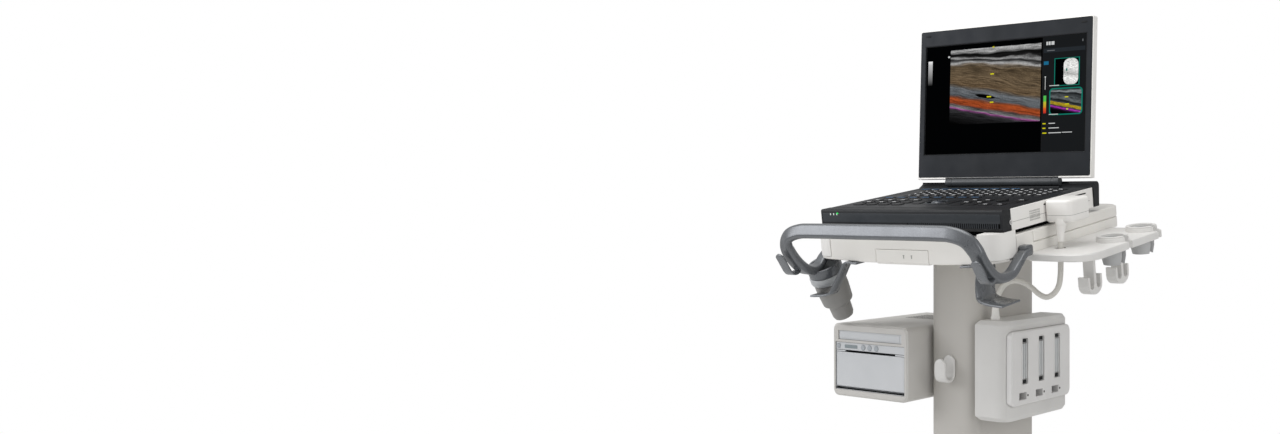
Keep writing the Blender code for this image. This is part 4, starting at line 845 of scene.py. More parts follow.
@dataclass
class Maker:
    """Turns skins and CAD nodes into finished pieces, and reports each."""

    frame: dict

    def dress(self, thing: bpy.types.Object, finish: Finish, body: Body | str) -> bpy.types.Object:
        """Gives a piece its material and body.

        Args:
            thing: The piece, in place.
            finish: Its finish.
            body: The body that it rides on, or the name of a small one that has no member in Body.
        Returns:
            The piece.
        """
        thing.data.materials.clear()
        thing.data.materials.append(SHOP.get(finish))
        rides = body.value if isinstance(body, Body) else body
        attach(thing, rides)
        log.info("piece %s rides %s", thing.name, rides)
        return thing

    def piece(self, name: str, skin: Skin, place: Place, finish: Finish, body: Body | str, slot: str,
              stands_for: tuple[str, ...] = (), sharp: float = 38.0, uv: Array | None = None) -> bpy.types.Object:
        """Makes an object from a skin.

        Args:
            name: The piece's name.
            skin: Its shells, in the place's own frame.
            place: The frame.
            finish: Its finish.
            body: The body that it rides on.
            slot: The record's material slot; not used.
            stands_for: CAD nodes that it replaces.
            sharp: Edges bent more than this many degrees stay crisp.
            uv: The picture map, one (u, v) for each point.
        Returns:
            The piece.
        """
        points = place.world(np.vstack(skin.points))
        mesh = bpy.data.meshes.new(name)
        mesh.from_pydata(points.tolist(), [], np.vstack(skin.quads).tolist() + skin.caps)
        shell = bmesh.new()
        shell.from_mesh(mesh)
        bmesh.ops.recalc_face_normals(shell, faces=shell.faces)
        shell.to_mesh(mesh)
        shell.free()
        if uv is not None:
            corner = np.empty(len(mesh.loops), np.int32)
            mesh.loops.foreach_get("vertex_index", corner)
            mesh.uv_layers.new(name="picture").data.foreach_set("uv", uv[corner].astype(np.float32).ravel())
        mesh.shade_smooth()
        mesh.set_sharp_from_angle(angle=math.radians(sharp))
        thing = bpy.data.objects.new(name, mesh)
        bpy.context.scene.collection.objects.link(thing)
        self.dress(thing, finish, body)
        if stands_for:
            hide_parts(*stands_for)
        return thing

    def soften(self, node: str, finish: Finish, body: Body | str, slot: str, ease: float = 0.0008,
               segments: int = 3, angle: float = 32.0) -> bpy.types.Object:
        """Makes a copy of a CAD node with its edges eased, which stands for it.

        Args:
            node: The CAD node.
            finish: Its finish.
            body: The body that it rides on.
            slot: The record's material slot; not used.
            ease: Width of the eased edges.
            segments: Steps across an eased edge.
            angle: Only edges bent more than this many degrees are eased.
        Returns:
            The copy, merged and beveled.
        """
        mesh = self.frame["nodes"][node].data.copy()
        mesh.name = f"{node}_eased"
        shell = bmesh.new()
        shell.from_mesh(mesh)
        bmesh.ops.remove_doubles(shell, verts=shell.verts, dist=0.00001)
        bmesh.ops.dissolve_limit(shell, angle_limit=math.radians(0.6), verts=shell.verts, edges=shell.edges)
        shell.to_mesh(mesh)
        shell.free()
        mesh.shade_smooth()
        mesh.set_sharp_from_angle(angle=math.radians(angle))
        thing = bpy.data.objects.new(f"{node}_eased", mesh)
        bpy.context.scene.collection.objects.link(thing)
        self.dress(thing, finish, body)
        if ease > 0:
            step = thing.modifiers.new("eased_edges", "BEVEL")
            step.width = ease
            step.segments = segments
            step.limit_method = "ANGLE"
            step.angle_limit = math.radians(angle)
            step.harden_normals = True
            step.use_clamp_overlap = True
        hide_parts(node)
        return thing


def flat_uv(points: Array, low: tuple[float, float], high: tuple[float, float], axes: tuple[int, int]) -> Array:
    """Picture map of a flat piece: each coordinate's share of the way from low to high.

    Args:
        points: Rows of x, y, z in the piece's own frame.
        low: The picture's lower left corner.
        high: Its upper right corner.
        axes: Which coordinates run across and up.
    Returns:
        Rows of (u, v).
    """
    across = (points[:, axes[0]] - low[0]) / (high[0] - low[0])
    up = (points[:, axes[1]] - low[1]) / (high[1] - low[1])
    return np.stack([across, up], -1)


# ---------------------------------------------------------------- sub-assemblies

@dataclass
class Assembly:
    """A group of pieces that mostly share one frame and one body."""

    maker: Maker
    home: Place = CART_FRAME
    rides: Body = Body.CART

    def add(self, name: str, skin: Skin, finish: Finish, slot: str, stands_for: tuple[str, ...] = (),
            sharp: float = 38.0, uv: Array | None = None, place: Place | None = None,
            body: Body | str | None = None) -> bpy.types.Object:
        """Makes a piece, in this group's frame and on its body unless told otherwise.

        Args:
            name: The piece's name.
            skin: Its shells.
            finish: Its finish.
            slot: The record's material slot.
            stands_for: CAD nodes that it replaces.
            sharp: Edges bent more than this many degrees stay crisp.
            uv: The picture map, one (u, v) for each point.
            place: Another frame.
            body: Another body.
        Returns:
            The piece.
        """
        return self.maker.piece(name, skin, place or self.home, finish, body or self.rides, slot, stands_for, sharp, uv)

    def soften(self, node: str, finish: Finish, slot: str, ease: float = 0.0008, segments: int = 3,
               angle: float = 32.0, body: Body | str | None = None) -> None:
        """Makes the eased copy of a CAD node, on this group's body unless told otherwise.

        Args:
            node: The CAD node.
            finish: Its finish.
            slot: The record's material slot.
            ease: Width of the eased edges.
            segments: Steps across an eased edge.
            angle: Only edges bent more than this many degrees are eased.
            body: Another body.
        """
        self.maker.soften(node, finish, body or self.rides, slot, ease, segments, angle)


@dataclass
class ProbeCable(Assembly):
    """The probe's cable: from the plug down through the shelf, a slack loop, over an arch and into the gland."""

    diameter: float = 0.009
    start: tuple[float, float, float] = (0.2128, -0.1390, -0.103356)
    end: tuple[float, float, float] = (0.0740, -0.1200, -0.2128)

    def route(self) -> Array:
        """Works out the cable's middle line.

        Returns:
            The line in the object's frame, from the plug to the gland.
        """
        s, e = self.start, self.end
        points = np.array([
            s, (0.2128, -0.1390, s[2] - 0.010), (0.2127, -0.1390, -0.1353), (0.2122, -0.1390, -0.1559),
            (0.2082, -0.1380, -0.1740), (0.1978, -0.1370, -0.1868), (0.1837, -0.1360, -0.1925),
            (0.1682, -0.1340, -0.1880), (0.1535, -0.1320, -0.1788), (0.1368, -0.1300, -0.1716),
            (0.1186, -0.1270, -0.1694), (0.1022, -0.1240, -0.1728), (0.0885, -0.1218, -0.1822),
            (0.0795, -0.1205, -0.1960), (e[0], e[1], e[2] + 0.006), e])
        return CART_FRAME.world(spline_through(points, 4))

    def build(self) -> None:
        line = self.route()
        angle = np.linspace(0.0, 2 * math.pi, 20, endpoint=False)
        section = self.diameter / 2 * np.stack([np.cos(angle), np.sin(angle)], -1)
        skin = Skin().swept(line, section, np.array([0.05, 1.0, 0.0]))
        jacket = self.add("probe_cable_jacket", skin, CABLE_JACKET, "cable_white", ("probe_cable",), 60.0,
                          place=WORLD_FRAME)


@dataclass
class Lid(Assembly):
    """The laptop's lid: shell, bezel, display and the picture on it. Its frame stands on the hinge line."""

    home: Place = LID_FRAME
    rides: Body = Body.LID
    face: float = -0.0060
    foot: float = 0.0052
    display: tuple[float, float] = (0.3442, 0.2000)
    display_foot: float = 0.0455
    film: float = 0.00015
    recess: float = 0.0008
    barrel_radius: float = 0.0074
    barrel_length: float = 0.243
    width: float = 0.370
    height: float = 0.275

    def on_screen(self, name: str, finish: Finish, marks: list[tuple[float, float, float, float]], layer: int = 1,
                  pictured: bool = False) -> None:
        """Adds flat marks to the display.

        Args:
            name: The piece's name.
            finish: Its finish.
            marks: Left, bottom, right and top of each, as shares of the display.
            layer: How many films it lies above the panel.
            pictured: True gives it a picture map over its first mark.
        """
        wide, tall = self.display
        box = np.array(marks)
        x0, x1 = (box[:, 0] - 0.5) * wide, (box[:, 2] - 0.5) * wide
        z0 = self.foot + self.display_foot + box[:, 1] * tall
        z1 = self.foot + self.display_foot + box[:, 3] * tall
        depth = self.film * layer
        y = np.full(len(box), self.face + self.recess - depth / 2)
        skin = Skin().bricks(np.stack([(x0 + x1) / 2, y, (z0 + z1) / 2], -1),
                             np.stack([(x1 - x0) / 2, np.full(len(box), depth / 2), (z1 - z0) / 2], -1))
        uv = flat_uv(np.vstack(skin.points), (x0[0], z0[0]), (x1[0], z1[0]), (0, 2)) if pictured else None
        self.add(name, skin, finish, "glass_black", uv=uv)

    def on_screen_round(self, name: str, finish: Finish, mark: tuple[float, float, float, float], corner: float,
                        layer: int) -> None:
        """Adds one flat mark with round corners to the display, with a picture map over it.

        Args:
            name: The piece's name.
            finish: Its finish.
            mark: Left, bottom, right and top, as shares of the display.
            corner: Corner radius.
            layer: How many films it lies above the panel.
        """
        wide, tall = self.display
        x0, x1 = (mark[0] - 0.5) * wide, (mark[2] - 0.5) * wide
        z0, z1 = (self.foot + self.display_foot + share * tall for share in (mark[1], mark[3]))
        depth = self.film * layer
        skin = Skin().slab(((x0 + x1) / 2, self.face + self.recess - depth / 2, (z0 + z1) / 2),
                           ((x1 - x0) / 2, depth / 2, (z1 - z0) / 2), corner, 0.0, "y", 8)
        uv = flat_uv(np.vstack(skin.points), (x0, z0), (x1, z1), (0, 2))
        self.add(name, skin, finish, "glass_black", uv=uv)

    def build(self) -> None:
        """Makes every piece of the lid."""
        self.soften("lid_shell", WHITE_ABS, "white_plastic", 0.0006)
        self.soften("lid_bezel", BEZEL_BLACK, "black_plastic", 0.0004, 2)
        self.soften("lcd_panel", PANEL_GLASS, "glass_black", 0.0002, 2)
        self.build_hinge()
        self.build_strip()
        self.build_picture()

    def build_hinge(self) -> None:
        """The hinge cover: a long barrel with eased ends, a fine line near each, and a lower cheek."""
        r, half = self.barrel_radius, self.barrel_length / 2
        ease = np.linspace(0.0, math.pi / 2, 5)
        end = np.stack([r - 0.001 + 0.001 * np.sin(ease), -half + 0.001 - 0.001 * np.cos(ease)], -1)
        groove = np.array([(r, -half + 0.014), (r - 0.0005, -half + 0.0142), (r - 0.0005, -half + 0.0148),
                           (r, -half + 0.015)])
        left = np.vstack([end, groove])
        profile = np.vstack([left, np.stack([left[::-1, 0], -left[::-1, 1]], -1)])
        self.add("hinge_cover", Skin().turned(profile, axis="x", count=64), HINGE_GREY, "black_plastic",
                 ("hinge_barrel",))

    def build_strip(self) -> None:
        """Rubber stops on the bezel, and the fine seam that parts its foot from the display's frame."""
        half = self.width / 2
        stops = Skin()
        for x in (-half + 0.018, half - 0.018):
            stops.slab((x, self.face - 0.0006, self.foot + self.height - 0.010), (0.006, 0.0004, 0.0016), 0.0015,
                       0.0003, "y")
        self.add("bezel_stops", stops, BEZEL_SEAM, "black_plastic")
        wide, tall = self.display
        z0 = self.foot + self.display_foot
        y = self.face - 0.00042
        seam = Skin().bricks(
            np.array([(0, y, z0 - 0.0016), (0, y, z0 + tall + 0.0016), (-wide / 2 - 0.0016, y, z0 + tall / 2),
                      (wide / 2 + 0.0016, y, z0 + tall / 2)]),
            np.array([(wide / 2 + 0.002, 0.00004, 0.0004), (wide / 2 + 0.002, 0.00004, 0.0004),
                      (0.0004, 0.00004, tall / 2 + 0.002), (0.0004, 0.00004, tall / 2 + 0.002)]))
        self.add("bezel_seam_line", seam, BEZEL_SEAM, "black_plastic")

    def build_picture(self) -> None:
        """The display's picture: a layered scan, scales, side panel and plain marks in place of words."""
        show = self.on_screen
        show("screen_side", SCREEN_GREY, [(0.745, 0.004, 0.996, 0.996)])
        show("screen_field", SCREEN_BLACK, [(0.004, 0.004, 0.743, 0.996)])
        show("screen_scan_field", MAIN_SCAN, [(0.165, 0.270, 0.735, 0.950)], 2, True)
        show("screen_grey_bar", GREY_WEDGE, [(0.016, 0.640, 0.044, 0.865)], 2, True)
        show("screen_title", SCREEN_BAR, [(0.750, 0.860, 0.992, 0.895)], 2)
        show("screen_title_rows", SCREEN_DIM, [(0.770, 0.873, 0.815, 0.880), (0.975, 0.935, 0.980, 0.955)], 3)
        show("screen_header", SCREEN_WHITE, [(0.765, 0.925, 0.774, 0.955), (0.778, 0.925, 0.790, 0.955),
                                             (0.795, 0.925, 0.812, 0.955), (0.148, 0.885, 0.160, 0.900)], 3)
        show("screen_blue_tab", SCREEN_BLUE, [(0.752, 0.755, 0.780, 0.785)], 2)
        show("screen_preview_frame", SCREEN_TEAL, [(0.815, 0.565, 0.962, 0.805)], 2)
        show("screen_preview_ground", SCREEN_BLACK, [(0.820, 0.571, 0.957, 0.799)], 3)
        self.on_screen_round("screen_preview_bone", SCREEN_BONE, (0.870, 0.573, 0.955, 0.797), 0.011, 4)
        show("screen_preview_mark", SCREEN_TEAL, [(0.884, 0.690, 0.892, 0.712)], 5)
        self.on_screen_round("screen_guide_frame", SCREEN_TEAL, (0.788, 0.315, 0.982, 0.548), 0.007, 2)
        self.on_screen_round("screen_guide_scan", SMALL_SCAN, (0.795, 0.325, 0.975, 0.538), 0.006, 3)
        show("screen_colour_bar", COLOUR_WEDGE, [(0.754, 0.335, 0.770, 0.488)], 2, True)
        show("screen_scale_line", SCREEN_WHITE, [(0.761, 0.540, 0.764, 0.650), (0.7585, 0.645, 0.7665, 0.655)], 2)
        show("screen_yellow_marks", SCREEN_YELLOW,
             [(0.425, 0.705, 0.447, 0.716), (0.405, 0.503, 0.432, 0.514), (0.425, 0.452, 0.447, 0.463),
              (0.436, 0.944, 0.446, 0.956), (0.752, 0.240, 0.769, 0.250), (0.752, 0.200, 0.769, 0.210),
              (0.752, 0.158, 0.775, 0.168), (0.880, 0.463, 0.900, 0.472), (0.882, 0.402, 0.905, 0.411),
              (0.890, 0.358, 0.900, 0.370)], 4)
        show("screen_text_rows", SCREEN_WHITE,
             [(0.788, 0.242, 0.825, 0.249), (0.788, 0.202, 0.848, 0.209), (0.788, 0.160, 0.862, 0.167),
              (0.868, 0.162, 0.925, 0.168), (0.788, 0.568, 0.845, 0.574), (0.788, 0.320, 0.842, 0.326)], 5)


def crossings(xs: Array | tuple[float, ...], ys: Array | tuple[float, ...]) -> Array:
    """Every (x, y) of the given columns and rows, a row at a time."""
    return np.stack(np.meshgrid(xs, ys), -1).reshape(-1, 2)


KEY_ROWS = (-0.160, -0.184, -0.208)
SOFT_KEYS = np.vstack([
    crossings((-0.150, -0.122, -0.094, -0.066), KEY_ROWS), crossings((0.058, 0.084), KEY_ROWS),
    [(0.112, -0.208), (0.140, -0.208), (0.150, -0.160), (0.150, -0.184)]])


@dataclass
class Deck(Assembly):
    """The laptop's body: case, black deck, keys, ball, knob, lights and vents. Its frame is the inclined desk."""

    home: Place = DESK_FRAME
    top: float = -0.016
    front: float = -0.269
    half: float = 0.185
    thickness: float = 0.035
    keyboard_centre: tuple[float, float] = (0.010, -0.066)
    keyboard: tuple[float, float] = (0.292, 0.086)
    columns: int = 15
    rows: int = 5
    ball: tuple[float, float] = (-0.004, -0.182)
    ball_radius: float = 0.0160
    knob: tuple[float, float] = (0.118, -0.168)

    def build(self) -> None:
        """Makes every piece of the laptop's body."""
        self.soften("laptop_case", WHITE_ABS, "white_plastic", 0.0008)
        self.soften("laptop_deck", DECK_BLACK, "deck_black", 0.0008)
        # the gap between the laptop and its tray: a near-black slab inside it is painted shade, seen as a dark slot
        gap = Skin().slab((0.0, -0.138, self.top - self.thickness - 0.0035), (0.176, 0.118, 0.0029), 0.004, 0.0004)
        self.add("dock_gap_shadow", gap, BLACK_AND_PAINTED_SHADE, "black_plastic")
        self.build_keys()
        self.build_controls()
        self.build_lip()
        self.build_side()
        self.build_plug()

    def key_centres(self) -> tuple[Array, float, float]:
        """Works out where the keys stand.

        Returns:
            Middles of the keys as rows of (x, y), then the pitch across and along.
        """
        (cx, cy), (w, d) = self.keyboard_centre, self.keyboard
        px, py = w / self.columns, d / self.rows
        xs = cx - w / 2 + px * (np.arange(self.columns) + 0.5)
        ys = cy - d / 2 + py * (np.arange(self.rows) + 0.5)
        gx, gy = np.meshgrid(xs, ys)
        return np.stack([gx.ravel(), gy.ravel()], -1), px, py

    def build_keys(self) -> None:
        """Key caps on their bed.

        Each cap is four stacked round rectangles, drawn in towards the top, the last one dished: the outline
        is shared and every cap is that outline moved to its key's middle.
        """
        centres, px, py = self.key_centres()
        (cx, cy), (w, d) = self.keyboard_centre, self.keyboard
        # the bed is near black: its own black deepened by painted shade between the keys
        bed = Skin().slab((cx, cy, self.top - 0.0030), (w / 2, d / 2, 0.0012), 0.002, 0.0)
        caps = Skin()
        hu, hv = px / 2 - 0.0013, py / 2 - 0.0013
        levels = ((0.0, -0.0030), (0.0002, 0.0003), (0.0007, 0.0009), (0.0016, 0.0010))
        template = np.stack([np.column_stack([arc_corner_outline(hu - i, hv - i, 0.0016 - 0.4 * i, 3),
                                              np.full(16, self.top + z)]) for i, z in levels])
        for x, y in centres:
            caps.grid(template + np.array([x, y, 0.0]))
        self.add("key_bed", bed, BLACK_AND_PAINTED_SHADE, "black_plastic")
        self.add("key_caps", caps, KEY_BLACK, "black_plastic", ("keyboard",), 50.0)
        # plain printed marks: an upper and a lower stroke on each cap, of three widths in turn
        order = np.arange(len(centres))
        wide = 0.0022 + 0.0011 * ((order * 7) % 3)
        tall = np.where(order % 4 == 0, 0.0013, 0.0021)
        high = lay(centres[:, 0] - 0.0030, centres[:, 1] + 0.0026, self.top + 0.00106)
        low = lay(centres[:, 0] + 0.0020, centres[:, 1] - 0.0024, self.top + 0.00106)
        marks = Skin().bricks(high, lay(wide * 0.8, tall, INK))
        self.add("key_legends", marks, LEGEND_WHITE, "black_plastic")
        dim = Skin().bricks(low[order % 2 == 0], np.array([(0.0009, 0.0007, INK)]))
        self.add("key_legends_dim", dim, LEGEND_DIM, "black_plastic")

    def build_controls(self) -> None:
        """Ball with its trim ring, select keys, knob, and the soft keys round them."""
        bx, by = self.ball
        r = self.ball_radius
        angle = np.linspace(0.0, math.pi, 33)
        globe = np.column_stack([np.maximum(r * np.sin(angle), 1e-5), -r * np.cos(angle)])
        # its middle is where the CAD ball has it: 3 mm of the ball stands above the deck
        self.add("trackball_globe", Skin().turned(globe, (bx, by, self.top + 0.0030 - r), count=64), BALL_SLATE,
                 "silver_grey", ("trackball",), body="trackball")
        rim = np.array([(r + 0.0012, -0.0004), (r + 0.0012, 0.0006), (r + 0.0018, 0.0010), (r + 0.0038, 0.0010),
                        (r + 0.0046, 0.0004), (r + 0.0046, -0.0004)])
        ring = Skin().turned(rim, (bx, by, self.top), count=72, closed=True)
        self.add("ball_trim_ring", ring, LIP_SLATE, "deck_black")
        for side in ("left", "right"):
            self.soften(f"select_key_{side}", KEY_BLACK, "black_plastic", 0.0005, body=f"select_key_{side}")
        kx, ky = self.knob
        low, high, radius = self.top + 0.0003, self.top + 0.0034, 0.0105
        around = np.linspace(0.0, 2 * math.pi, 96, endpoint=False)
        grip = 1.0 - 0.012 * (np.cos(around * 24) > 0.3)
        steps = np.array([(0.004, self.top - 0.005), (0.004, low), (radius, low), (radius, high - 0.0008),
                          (radius - 0.0008, high), (radius - 0.0035, high), (radius - 0.0042, high - 0.0005)])
        share = np.array([0.0, 0.0, 1.0, 1.0, 1.0, 0.0, 0.0])[:, None]
        radii = steps[:, :1] * (1 - share + share * grip[None])
        height = np.broadcast_to(steps[:, 1:], radii.shape)
        rows = np.stack([radii * np.cos(around), radii * np.sin(around), height], -1)
        knob = Skin().grid(rows + np.array([kx, ky, 0.0]))
        self.add("gain_knob_grip", knob, KEY_BLACK, "black_plastic", ("gain_knob",), body="gain_knob")
        pad = Skin()
        for i in range(8):
            pad.slab((-0.150 + 0.0265 * i, -0.127, self.top + 0.0004), (0.0110, 0.0055, 0.0006), 0.002, 0.0004)
        for x, y in SOFT_KEYS:
            pad.slab((x, y, self.top + 0.0005), (0.0098, 0.0080, 0.0007), 0.003, 0.0005)
        self.add("function_keys", pad, KEY_BLACK, "deck_black")
        xs = -0.150 + 0.0265 * np.arange(8)
        blue = Skin().bricks(lay(xs, -0.127, self.top + 0.00104), np.array([(0.0078, 0.0022, INK)]))
        self.add("function_legends_blue", blue, LEGEND_BLUE, "deck_black")
        # not every soft key carries a mark
        spots = SOFT_KEYS[[0, 1, 2, 3, 4, 5, 6, 12, 13, 14, 15, 18, 19, 20]]
        white = Skin().bricks(lay(*spots.T, self.top + 0.00124), np.array([(0.0040, 0.0012, INK)]))
        self.add("function_legends", white, LEGEND_WHITE, "deck_black")
        strip = Skin().slab((-0.060, -0.0160, self.top + 0.0002), (0.105, 0.0040, 0.0004), 0.002, 0.0002)
        self.add("soft_key_strip", strip, BEZEL_SEAM, "deck_black")
        tabs = Skin().bricks(lay(-0.155 + 0.022 * np.arange(10), -0.016, self.top + 0.00066),
                             np.array([(0.0085, 0.0026, INK)]))
        self.add("soft_key_tabs", tabs, LEGEND_BLUE, "deck_black")
        # the palm rest's soft crease, and the fine line that parts it from the keys' field: a thin strip of painted
        # shade
        crease = Skin().bricks(np.array([(0.0, self.front + 0.0265, self.top + 0.00002)]),
                               np.array([(self.half - 0.006, 0.0004, 0.00008)]))
        self.add("palm_rest_crease_shade", crease, BLACK_AND_PAINTED_SHADE, "deck_black")

    def build_lip(self) -> None:
        """Front lip: a lighter slate band, an air grille under its right half, and status lights on its left."""
        bottom = self.top - self.thickness
        y = self.front - 0.0001
        band = Skin().slab((0.0, y, self.top - 0.0135), (self.half - 0.004, 0.0003, 0.0072), 0.002, 0.0002, "y")
        self.add("front_lip_band", band, LIP_SLATE, "deck_black")
        # the grille's openings are a near-black sheet of painted shade behind the ribs
        grille = Skin().slab((0.090, y, bottom + 0.0105), (0.090, 0.0003, 0.0036), 0.001, 0.0001, "y")
        self.add("front_grille_shadow", grille, BLACK_AND_PAINTED_SHADE, "deck_black")
        xs = 0.004 + 0.0040 * np.arange(44)
        ribs = Skin().bricks(lay(xs, y - 0.0003, bottom + 0.0105), np.array([(0.0010, 0.0003, 0.0036)]))
        self.add("front_grille_ribs", ribs, LIP_SLATE, "deck_black")
        z = self.top - 0.0078
        lights = Skin()
        for x in (-0.163, -0.156, -0.149):
            lights.slab((x, y - 0.0004, z), (0.0009, 0.0003, 0.0018), 0.0008, 0.0002, "y")
        self.add("status_lights", lights, LED_WHITE, "deck_black")
        green = Skin().slab((-0.1475, y - 0.0005, z + 0.0014), (0.0018, 0.0003, 0.0012), 0.001, 0.0002, "y")
        self.add("status_light_on", green, LED_GREEN, "deck_black")

    def build_side(self) -> None:
        """Right side of the case: part line, air grille, jack and the long slot above the plug."""
        x = self.half + 0.00002
        bottom = self.top - self.thickness
        seam = Skin().bricks(np.array([(x, -0.125, self.top - 0.0215)]), np.array([(0.00008, 0.118, 0.00035)]))
        self.add("case_part_line", seam, ICON_GREY, "white_plastic")
        # the long slot is a near-black strip of painted shade
        slot = Skin().slab((x, -0.085, self.top - 0.0075), (0.0003, 0.066, 0.0010), 0.0008, 0.0001, "x")
        self.add("card_slot_shadow", slot, BLACK_AND_PAINTED_SHADE, "white_plastic")
        # the grille's holes are grey marks of painted shade
        pitch, columns, rows = 0.0034, 9, 5
        holes = crossings(-0.192 + pitch * np.arange(columns), bottom + 0.0085 + pitch * np.arange(rows))
        holes = Skin().bricks(lay(x, *holes.T), np.array([(0.00012, 0.0010, 0.0012)]))
        self.add("side_grille", holes, ICON_GREY, "white_plastic")
        jack = Skin().turned(np.array([(0.0022, -0.0002), (0.0022, 0.0004), (0.0032, 0.0006), (0.0040, 0.0004),
                                       (0.0040, -0.0002)]), (x, -0.246, bottom + 0.0135), "x", 32, True)
        self.add("jack_ring", jack, PORT_FACE_ABS, "white_plastic")

    def build_plug(self) -> None:
        """The probe's side plug: an eased block with a part line, and a tapered relief turned about the cable."""
        x0, reach, (y0, y1), (z0, z1) = self.half + 0.0003, 0.050, (-0.152, -0.090), (-0.0530, -0.0170)
        centre = ((2 * x0 + reach) / 2, (y0 + y1) / 2, (z0 + z1) / 2)
        half = (reach / 2, (y1 - y0) / 2, (z1 - z0) / 2)
        body = Skin().slab(centre, half, 0.010, 0.0045, "z", 8)
        self.add("side_plug_body", body, WHITE_ABS, "white_plastic", ("probe_plug",))
        proud = 0.00006
        line = Skin().slab((centre[0], centre[1], centre[2] - 0.006), (half[0] + proud, half[1] + proud, 0.0003),
                           0.0101, 0.0001, "z", 8)
        self.add("side_plug_line", line, ICON_GREY, "white_plastic")
        x, y = 0.2128, -0.1390
        top = (z0 + y * math.sin(INCLINE)) / math.cos(INCLINE)
        low = top - 0.030
        share = np.linspace(0.0, 1.0, 13)
        ribs = 0.0004 * np.cos(share * 2 * math.pi * 5)
        taper = np.column_stack([0.0082 - 0.0029 * share ** 0.7 + ribs * (1 - share),
                                 top - 0.003 - share * (0.027 - 0.0003)])
        profile = np.vstack([[(0.0085, top + 0.005)], [(0.0088, top - 0.002)], taper, [(0.0005, low)]])
        relief = Skin().turned(profile, (x, y, 0.0), count=48)
        self.add("side_plug_relief", relief, WHITE_ABS, "white_plastic", place=CART_FRAME)


@dataclass
class Tray(Assembly):
    """The docking tray: shell, dock slab, front corners and the height paddle."""

    home: Place = DESK_FRAME
    front: float = -0.2905

    def build(self) -> None:
        """Makes every piece of the tray."""
        self.soften("tray_shell", TRAY_ABS, "white_plastic", 0.0040, 5)
        self.soften("tray_dock", TRAY_ABS, "white_plastic", 0.0012)
        for side in ("left", "right"):
            self.soften(f"tray_corner_{side}", WHITE_ABS, "white_plastic", 0.0016, 4)
        self.soften("height_paddle", TRAY_ABS, "white_plastic", 0.0010, body=Body.PADDLE)
        y = self.front - 0.0001
        icons = Skin()
        for x in (0.004, 0.020):
            icons.slab((x, y, -0.0885), (0.0008, 0.0002, 0.0026), 0.001, 0.0001, "y")
            icons.slab((x, y, -0.0862), (0.0017, 0.0002, 0.0007), 0.0008, 0.0001, "y")
        self.add("paddle_icons", icons, ICON_GREY, "white_plastic", body=Body.PADDLE)


